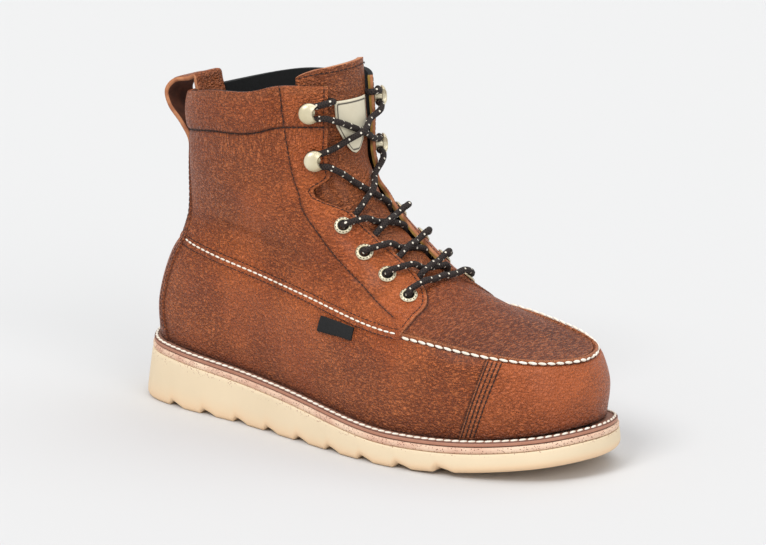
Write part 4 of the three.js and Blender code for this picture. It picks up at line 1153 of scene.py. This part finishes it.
white, dark = bmesh.new(), bmesh.new()
count = 0
for sign in (-1, 1):
    cols = np.linspace(0.0, EDGE - 0.002, 90)
    path, up = offset_line(np.full(90, 2.995), sign, cols, -0.9)
    top_path, top_up = offset_line(np.full(90, 2.995), sign, cols, 0.1)
    rise = ease((cols - 0.04) / 0.06)[:, None] if sign > 0 else np.zeros((90, 1))
    path = path + up * 0.45 + (top_path + top_up * 0.6 - path - up * 0.45) * rise
    count += stitches(white, path, up, 5.0, 5.0, 0.9, cant=0.12 * sign)
    cols = np.linspace(EDGE + 0.012, STAY - 0.003, 200)
    seam = np.full(200, 3.0)
    count += sew(white, surface_point(seam, sign, cols), 0.15, 4.2, 3.7, 0.58)
    for shift in (-2.6, 2.6):
        count += sew(dark, offset_line(seam, sign, cols, shift), 0.02, 2.9, 2.75, 0.3)
    rows = np.linspace(0.05, 2.72, 70)
    for row in range(4):
        line = surface_point(rows, sign, np.full(70, CAP), -1.3 - 2.35 * row)
        count += sew(dark, line, 0.05, 2.9, 2.85, 0.4)
    rows = np.linspace(3.75, 9.98, 300)
    count += sew(dark, surface_point(rows, sign, lacing_line(rows)), 0.02, 2.9, 2.75, 0.3)
    rows = np.linspace(3.35, 9.95, 400)
    line = surface_point(rows, sign, np.full(400, EDGE + 1e-6), notch(rows) + 2.3)
    count += sew(dark, line, 0.02, 2.8, 2.65, 0.3)
    cols = np.linspace(EDGE + 0.01, STAY - 0.003, 220)
    count += sew(dark, surface_point(np.full(220, 9.0), sign, cols), 0.05, 3.0, 2.85, 0.38)
    rows = np.linspace(0.3, 8.8, 200)
    for shift in (1.6, 4.6):
        count += sew(dark, surface_point(rows, sign, np.full(200, STAY), shift), 0.02, 3.0, 2.7, 0.32)
shares_at = np.linspace(-0.96, 0.96, 120)
arc_at = COLLAR + 0.36 * tongue_arc(shares_at)
arc_mm = shares_at * (throat_half(arc_at) + TONGUE_UNDERLAP) - drift(arc_at)
path = front_place(arc_at, arc_mm, 0.1 - WALL - GAP - TONGUE_CLEARANCE)
count += stitches(dark, path, sheet_normals(np.stack([path, path + [0.3, 0, 1]]))[0], 2.9, 2.7, 0.34)
print("stitches", count)

# %% [markdown]
# ## Sole
# The outsole is one cast wedge. Its section, a rounded underside with a flared wall, is swept
# along the foot with close stations, so that the grooves of the tread and the round toe are smooth.


# %% Sole shapes
def breadth(share, sign):
    points = plan_side[sign][::-1]
    return np.interp(share, points[:, 0], points[:, 1])


def sole_edge(share, sign, drawn, flare=0.0):
    front, rear = SOLE_LENGTH - drawn, drawn + flare
    return rear + (front - rear) * share, breadth(share, sign) * (BALL_WIDTH / 2 - drawn)


def end_shares(count):
    """Shares of the length, closer together towards both round ends."""
    return (1 - np.cos(np.linspace(0, math.pi, count))) / 2


def swept(shares, profile, height):
    """A body round the sole from profile points (drawn in, flare, level, closeness to the edge)."""
    loops = [(sign, point) for sign in (-1, 1) for point in (profile if sign < 0 else profile[::-1])]
    places = np.empty((len(shares), len(loops), 3))
    for k, (sign, (drawn, flare, level, reach)) in enumerate(loops):
        x, y = sole_edge(shares, sign, drawn, flare)
        places[:, k] = np.column_stack([x, y * reach, height(x, level)])
    return places


def closed_sweep(places, levels):
    """A grid sheet whose two long sides are joined and whose ends are closed."""
    ring = np.concatenate([places, places[:, :1]], axis=1)
    bm = grid_sheet(ring, {"drop_mm": np.tile(levels + levels[:1], (len(ring), 1))})
    bmesh.ops.remove_doubles(bm, verts=bm.verts, dist=0.003)
    bmesh.ops.recalc_face_normals(bm, faces=bm.faces)
    return bm


LAYERS_ABOVE, FOOT_EDGE = 6.4, 3.0


def sole_height(x, level):
    low, high = tread(x), deck(x) - LAYERS_ABOVE
    if level < 1:
        return low + level * FOOT_EDGE
    return low + FOOT_EDGE + (high - low - FOOT_EDGE) * (level - 1)


sole_profile = [(2.5, 0, 0, k) for k in (0.0, 0.3, 0.6, 0.85, 0.95, 1.0)]
sole_profile += [
    (1.3, 0, 0.18, 1), (0.55, 0, 0.45, 1), (0.1, 0, 0.85, 1), (0.0, 0.3, 1.1, 1), (0.1, 1.2, 1.35, 1),
    (0.35, 2.2, 1.65, 1), (0.6, 3.0, 1.9, 1), (0.8, 3.4, 1.985, 1), (1.2, 3.5, 2.0, 1)]
sole_profile += [(1.2, 3.5, 2.0, k) for k in (0.7, 0.35, 0.0)]
shares = np.unique(np.concatenate([end_shares(80), np.linspace(0.03, 0.97, 420)]))
sole_levels = [point[2] for point in sole_profile]
outsole = closed_sweep(swept(shares, sole_profile, sole_height), sole_levels + sole_levels[::-1])
piece("wedge_sole", outsole, [wedge], ["outsole"])

layer_shares = end_shares(260)


def layer(name, drawn, upper_drop, lower_drop, material, slot, replaces, bulge):
    """A flat strip round the sole between two drops below the deck, with a little bulge."""
    edge_round = 0.35
    thickness = lower_drop - upper_drop
    heights = [(drawn + edge_round, lower_drop), (drawn, lower_drop - edge_round)]
    heights += [(drawn - bulge * math.sin(math.pi * t), lower_drop - t * thickness)
                for t in (0.3, 0.5, 0.7)]
    heights += [(drawn, upper_drop + edge_round), (drawn + edge_round, upper_drop)]
    profile = [(12.0, 3.5, lower_drop, 0.0), (12.0, 3.5, lower_drop, 1.0)]
    profile += [(d, 3.5, drop, 1.0) for d, drop in heights]
    profile += [(12.0, 3.5, upper_drop, 1.0), (12.0, 3.5, upper_drop, 0.0)]
    levels = [point[2] for point in profile]
    places = swept(layer_shares, profile, lambda x, drop: deck(x) - drop)
    made = closed_sweep(places, levels + levels[::-1])
    return piece(name, made, [material], replaces)


layer("midsole_strip", 1.0, 2.9, 6.1, midsole_rubber, "midsole_rubber", ["midsole"], 0.25)
layer("stitched_welt", 1.6, 0.0, 2.6, welt_leather, "welt_leather", ["welt"], 0.1)

welt_path = []
for sign, order in ((-1, 1), (1, -1)):
    line_shares = end_shares(400)[::order]
    x, y = sole_edge(line_shares, sign, 2.9, 3.5)
    welt_path.append(np.column_stack([x, y, deck(x) + 0.35]))
welt_path = np.vstack(welt_path)
stitches(white, welt_path, np.tile([0.0, 0.0, 1.0], (len(welt_path), 1)), 4.6, 4.3, 0.8, cant=0.2)
piece("white_stitches", white, [white_thread])
piece("dark_stitches", dark, [dark_thread])

# %% [markdown]
# ## Eyelets and hooks
# Round fittings are a profile turned about an axis, as on a lathe. The hook's head is then drawn in
# on its front side, which gives it the open mouth that the lace slips into.


# %% Fittings
def seat_matrix(station, sign, inset, height):
    """A frame on the leather: X to the front, Z out of it."""
    place = on_last(station, sign, EDGE, inset)
    up = Vector(outward(station, sign, EDGE, inset)).normalized()
    ahead = Vector(on_last(station, sign, EDGE, inset - 1) - place)
    ahead = (ahead - up * ahead.dot(up)).normalized()
    side = up.cross(ahead)
    turned = Matrix((ahead, side, up)).transposed().to_4x4()
    return Matrix.Translation(Vector(place) + up * height) @ turned


def lathe(profile, steps, matrix, shape=None):
    """A closed profile of (radius, height) turned about Z and set on the leather."""
    bm = bmesh.new()
    corners = [bm.verts.new((radius, 0, height)) for radius, height in profile]
    edges = [bm.edges.new((a, b)) for a, b in zip(corners, corners[1:])]
    bmesh.ops.spin(bm, geom=corners + edges, cent=(0, 0, 0), axis=(0, 0, 1), angle=2 * math.pi,
                   steps=steps, use_merge=True)
    bmesh.ops.remove_doubles(bm, verts=bm.verts, dist=0.001)
    bmesh.ops.recalc_face_normals(bm, faces=bm.faces)
    if shape:
        shape(bm)
    bm.transform(matrix)
    return bm


BORE, FLANGE = 1.9, 4.9
WELL = 3.0
DOTS, DOT_CIRCLE, DOT_SIZE = 14, 4.0, 0.42
MOUTH_AHEAD, MOUTH_RADIUS, HEAD_FROM = 6.3, 4.8, 4.4
eyelet_profile = [
    (BORE, -2.9), (BORE, 0.2), (BORE + 0.5, 0.42), (WELL - 0.15, 0.5), (WELL, 0.8), (WELL + 0.12, 1.3),
    (WELL + 0.4, 1.48), (WELL + 0.8, 1.42), (FLANGE - 0.4, 1.1), (FLANGE, 0.66), (FLANGE - 0.1, 0.45),
    (BORE + 0.7, 0.3), (BORE + 0.7, -2.9), (BORE, -2.9)]


def hook_mouth(bm):
    """Draws the head in on its front side to a crescent."""
    for vertex in bm.verts:
        offset = Vector((vertex.co.x - MOUTH_AHEAD, vertex.co.y, 0))
        if vertex.co.z >= HEAD_FROM and offset.length < MOUTH_RADIUS:
            moved = offset.normalized() * MOUTH_RADIUS
            vertex.co.x, vertex.co.y = moved.x + MOUTH_AHEAD, moved.y


hook_profile = [
    (0, 0.3), (3.1, 0.3), (3.3, 0.55), (3.3, 0.95), (3.0, 1.2), (2.4, 1.3), (2.0, 1.7), (2.0, 4.3),
    (2.6, 4.7), (5.2, 4.75), (5.75, 5.1), (5.75, 5.45), (5.3, 6.1), (4.3, 6.8), (3.0, 7.3),
    (1.5, 7.55), (0, 7.6)]
for sign, side_name in ((-1, "outer"), (1, "inner")):
    for number, (station, inset) in enumerate(EYELETS, 1):
        matrix = seat_matrix(station, sign, inset, OVERLAY)
        body = lathe(eyelet_profile, 40, matrix)
        middle_of = matrix.inverted()
        for face in body.faces:
            # Faces of the well inside the ring take the dark finish, as painted shade in the eyelet's hole
            centre = middle_of @ face.calc_center_median()
            if math.hypot(centre.x, centre.y) < WELL and centre.z < 0.9:
                face.material_index = 1
        for k in range(DOTS):
            angle = 2 * math.pi * k / DOTS
            at = (DOT_CIRCLE * math.cos(angle), DOT_CIRCLE * math.sin(angle), 1.4)
            made = bmesh.ops.create_circle(body, cap_ends=True, segments=8, radius=DOT_SIZE,
                                           matrix=matrix @ Matrix.Translation(at))
            for vertex in made["verts"]:
                for face in vertex.link_faces:
                    face.material_index = 1
        piece(f"eyelet_ring_{number}_{side_name}", body, [nickel, hole_shade_and_dots],
              [f"eyelet_{number}_{side_name}"])
    for number, (station, inset) in enumerate(HOOKS, 1):
        body = lathe(hook_profile, 44, seat_matrix(station, sign, inset, OVERLAY), hook_mouth)
        piece(f"hook_{number}_{side_name}", body, [nickel],
              [f"speed_hook_{number}_{side_name}"])

# %% [markdown]
# ## Lace
# The lace is one round cord. It bridges the lowest eyelets, goes down into each eyelet from
# outside, comes up from under the throat edge and crosses to the next row. Above the eyelets it
# passes behind the necks of the hooks, and its ends are tucked in behind the top of the throat.

# %% The lace
LACE = 1.8
ON_QUARTER = OVERLAY + 3.6 * GAP + 0.8 + LACE
ON_PLUG = LACE + 2 * GAP
ON_TONGUE = LACE - WALL - TONGUE_CLEARANCE + GAP / 2
PATCH_LIFT = 0.8 + GAP
LACE_SAG = 1.6
NECK_TURN, NECK_RISE = 4.0, 3.05
UNDER = -WALL - LACE - 0.2


def seat_distance(fitting):
    return float(throat_half(fitting[0]) + fitting[1])


front_stations = np.linspace(4.0, 10.0, 160)


def leg_path(sign, lower, upper, start, end, over, arch=0.0, sag=1.0):
    """One leg from the lower fitting on one side to the upper fitting on the other."""
    origin = on_last(lower[0], sign, EDGE, lower[1])
    goal = on_last(upper[0], sign, EDGE, upper[1])
    if lower == upper:
        uphill, climb = np.array([-0.82, 0, 0.57]), 0.0
    else:
        uphill = goal - origin
        uphill[1] = 0
        uphill /= np.linalg.norm(uphill)
        climb = float((goal - origin) @ uphill)
    width = seat_distance(lower) + seat_distance(upper)
    points = []
    for across in np.linspace(start, -end, 30):
        share = (seat_distance(lower) - across) / width
        reach = (front_place(front_stations, sign * across) - origin) @ uphill
        station = float(np.interp(climb * max(share, 0.0) ** sag, reach, front_stations))
        half = float(throat_half(station))
        on_tongue = ON_TONGUE + (PATCH_LIFT if upper == HOOKS[1] else 0.0)
        floor_height = ON_PLUG + (on_tongue - ON_PLUG) * float(ease((station - 6.05) / 0.25))
        landing = float(ease((-across - half + 13) / 12))
        rising = float(ease((half + 1.5 - across) / 7))
        height = floor_height + (ON_QUARTER - floor_height) * landing
        if lower == upper:
            height = floor_height + (ON_QUARTER - floor_height) * float(ease((abs(across) - half + 8) / 6))
        else:
            height = UNDER + (height - UNDER) * rising
        height += over * float(hump(across, 7.0))
        height += arch * float(hump(-across - half + 1, 5.0))
        points.append(front_place(station, sign * across, height))
    return np.array(points)


def into_eyelet(fitting, sign):
    """Points through an eyelet from outside to the inside, ending towards the throat edge."""
    matrix = seat_matrix(fitting[0], sign, fitting[1], 0.0)
    drop = [(0.9, 3.9), (0.2, 2.6), (0.0, 0.6), (0.1, -1.6), (0.9, -3.4)]
    return np.array([matrix @ Vector((x, 0, z)) for x, z in drop])


def round_hook(fitting, sign):
    """Points behind the neck of a hook, from its lower front to its upper front."""
    matrix = seat_matrix(fitting[0], sign, fitting[1], OVERLAY)
    side_up = Vector(on_last(fitting[0] + 0.1, sign, EDGE, fitting[1])
                     - on_last(fitting[0], sign, EDGE, fitting[1]))
    flip = 1 if (matrix.to_3x3() @ Vector((0, 1, 0))).dot(side_up) > 0 else -1
    angles = np.radians([-62, -100, -140, 180, 140, 100, 62])
    return np.array([matrix @ Vector((NECK_TURN * math.cos(a), NECK_TURN * math.sin(a) * flip, NECK_RISE))
                     for a in angles])


def over_other_leg(side):
    """How high a leg passes the middle: the one from the outer side lies on top."""
    return 3.0 if side < 0 else -0.6


def half_lace(side):
    """From the middle of the bar up to the tucked end."""
    path = [leg_path(-side, EYELETS[0], EYELETS[0], 0.0, seat_distance(EYELETS[0]) - 3.0, 0.0)]
    for lower, upper in zip(EYELETS, EYELETS[1:]):
        path.append(into_eyelet(lower, side))
        start = min(seat_distance(lower) - 3.0, float(throat_half(lower[0])) + 4)
        path.append(leg_path(side, lower, upper, start, seat_distance(upper) - 3.2,
                             over_other_leg(side), 2.2 if side < 0 else 0.2))
        side = -side
    path.append(into_eyelet(EYELETS[3], side))
    last_eyelet, low_hook, high_hook = (float(throat_half(f[0])) for f in (EYELETS[3], *HOOKS))
    path.append(leg_path(side, EYELETS[3], HOOKS[0], last_eyelet + 4, low_hook + 1,
                         over_other_leg(side), sag=LACE_SAG))
    side = -side
    path.append(round_hook(HOOKS[0], side))
    leg = leg_path(side, HOOKS[0], HOOKS[1], low_hook - 1, high_hook + 2, over_other_leg(side))
    path.append(leg[3:])
    side = -side
    path.append(round_hook(HOOKS[1], side))
    edge = on_last(9.62, side, EDGE, 0.0)
    out = outward(9.62, side, EDGE, 0.5)
    ahead = np.array(seat_matrix(9.6, side, 0.5, 0.0).to_3x3() @ Vector((1, 0, 0)))
    tuck = [(3.4, 0.5), (0.5, 3.2), (-3.6, 1.5), (-4.4, -3.0)]
    path.append(np.array([edge + out * up + ahead * on for up, on in tuck]))
    return np.vstack(path)


lace = bmesh.new()
whole_path = np.vstack([half_lace(-1)[::-1], half_lace(1)[1:]])
keep = [0]
for i in range(1, len(whole_path)):
    if np.linalg.norm(whole_path[i] - whole_path[keep[-1]]) > 0.9:
        keep.append(i)
lace_path = resample(smooth_path(whole_path[keep], 4), 1.1)
lace_length = tube(lace, lace_path, LACE, 12)
bmesh.ops.holes_fill(lace, edges=[e for e in lace.edges if e.is_boundary], sides=0)
bmesh.ops.recalc_face_normals(lace, faces=lace.faces)
piece("boot_lace", lace, [lace_cord], ["lace_bar"] + [f"lace_crossing_{i}" for i in range(1, 6)])
print("lace length in mm", round(lace_length))

# %% [markdown]
# ## Small cloth and leather pieces
# The patch on the tongue, the bare tag in the side seam and the pull loop at the back are thin
# sheets with thickness. The loop is a strip folded over the back of the collar.

# %% Patch, tag and loop
PATCH_FROM, PATCH_TO, PATCH_HALF, THIN = 8.28, 9.6, 13.8, 0.8
p_rows, p_shares = np.meshgrid(spread(PATCH_FROM, (PATCH_TO, 30)), np.linspace(-1, 1, 25), indexing="ij")
p_half = PATCH_HALF * (0.03 + 0.97 * np.clip((p_rows - PATCH_FROM) / 0.7, 0, 1) ** 0.6)
border = np.minimum((1 - np.abs(p_shares)) * p_half, 20 * np.minimum(PATCH_TO - p_rows, p_rows - PATCH_FROM))
p_height = -WALL - TONGUE_CLEARANCE + 0.75 + 0.25 * ease(border / 1.5)
p_distance = p_shares * p_half - 0.3 * drift(p_rows)
patch = grid_sheet(front_place(p_rows, p_distance, p_height), {"border_mm": border})
thicken(patch, (1, 0, 0), THIN)
piece("plain_patch", patch, [patch_leather], ["tongue_patch"])


def filled(corners, rows, cols):
    """A finer grid of numbers between those of a coarse one."""
    wide = np.array([np.interp(np.linspace(0, len(line) - 1, cols), range(len(line)), line)
                     for line in corners])
    steps = np.linspace(0, len(wide) - 1, rows)
    return np.array([np.interp(steps, range(len(wide)), line) for line in wide.T]).T


tag_corners = np.array([
    [(2.46, 56.3), (2.55, 48), (2.62, 39.5), (2.66, 31)],
    [(2.16, 56), (2.24, 47.5), (2.31, 39), (2.37, 30.3)],
    [(1.86, 55.4), (1.93, 46.7), (2.0, 38), (2.07, 29.4)]])
tag_station, tag_inset = (filled(tag_corners[:, :, k], 15, 31) for k in range(2))
tag_place = on_last(tag_station, -1, EDGE, tag_inset)
tag = grid_sheet(tag_place + outward(tag_station, -1, EDGE, tag_inset) * 1.15)
thicken(tag, (0, -1, 0), THIN)
piece("bare_tag", tag, [tag_cloth], ["side_tag"])

# %% [markdown]
# The pull loop is one strip of leather folded over the back of the collar. Its middle line is a
# smooth path, and its two legs hug the round of the heel.

# %% The pull loop
LOOP_WIDTH, LOOP_THICKNESS, LOOP_REACH, LOOP_DROP, LOOP_RISE = 22.0, 2.4, 18.0, 38.0, 8.0
collar_back = on_last(COLLAR, -1, 1.0)
face_x = collar_back[0] - OVERLAY - GAP - LOOP_THICKNESS / 2
inside_x = collar_back[0] + WALL + GAP + LOOP_THICKNESS / 2
# Shares of the loop's reach behind its starting face, and of its drop or rise from the collar
outer_leg = [(0.12, -1.0), (0.12, -0.76), (0.42, -0.53), (0.88, -0.29), (1.0, -0.08)]
loop_points = [(face_x - x * LOOP_REACH, z * LOOP_DROP) for x, z in outer_leg]
loop_points += [(face_x - x * LOOP_REACH, z * LOOP_RISE) for x, z in ((0.69, 0.44), (0.08, 0.79))]
loop_points += [(inside_x - x * LOOP_REACH, z * LOOP_RISE) for x, z in ((0.14, 1.0), (0.08, 0.38))]
loop_points += [(inside_x + x * LOOP_REACH, z * LOOP_DROP) for x, z in ((0.03, -0.16), (0.04, -0.42))]
loop_centre = smooth_path([(x, 0, collar_back[2] + z) for x, z in loop_points], 9)
loop_tangent = np.gradient(loop_centre, axis=0)
loop_tangent /= np.linalg.norm(loop_tangent, axis=1, keepdims=True)
loop_normal = np.column_stack([-loop_tangent[:, 2], np.zeros(len(loop_tangent)), loop_tangent[:, 0]])
loop_t = np.linspace(0, 1, len(loop_centre))
hug = 1.5 * (1 - ease(np.minimum(loop_t, 1 - loop_t) / 0.35))
loop_widths = np.linspace(-1, 1, 17)
loop_places = np.empty((len(loop_centre), len(loop_widths), 3))
for k, w in enumerate(loop_widths):
    loop_places[:, k] = loop_centre + loop_normal * (LOOP_THICKNESS / 2 - 0.5 * w ** 8)
    loop_places[:, k, 0] += hug * w * w
    loop_places[:, k, 1] += w * LOOP_WIDTH / 2
loop = grid_sheet(loop_places)
bmesh.ops.recalc_face_normals(loop, faces=loop.faces)
rear = min(loop.faces, key=lambda f: f.calc_center_median().x)
if rear.normal.x > 0:
    bmesh.ops.reverse_faces(loop, faces=loop.faces)
bmesh.ops.solidify(loop, geom=list(loop.faces), thickness=LOOP_THICKNESS)
for face in loop.faces:
    centre = np.array(face.calc_center_median())
    nearest = int(np.argmin(np.linalg.norm(loop_centre[:, [0, 2]] - centre[[0, 2]], axis=1)))
    side_on = abs(face.normal.y) > 0.7
    outside = float(np.array(face.normal) @ loop_normal[nearest])
    face.material_index = 1 if side_on else (0 if outside > 0.3 else 2)
piece("pull_loop_strip", loop, [tongue_leather, cut_leather, loop_inside], ["pull_loop"])

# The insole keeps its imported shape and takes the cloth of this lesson
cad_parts["insole"].data.materials.clear()
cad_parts["insole"].data.materials.append(insole_board)

# %% [markdown]
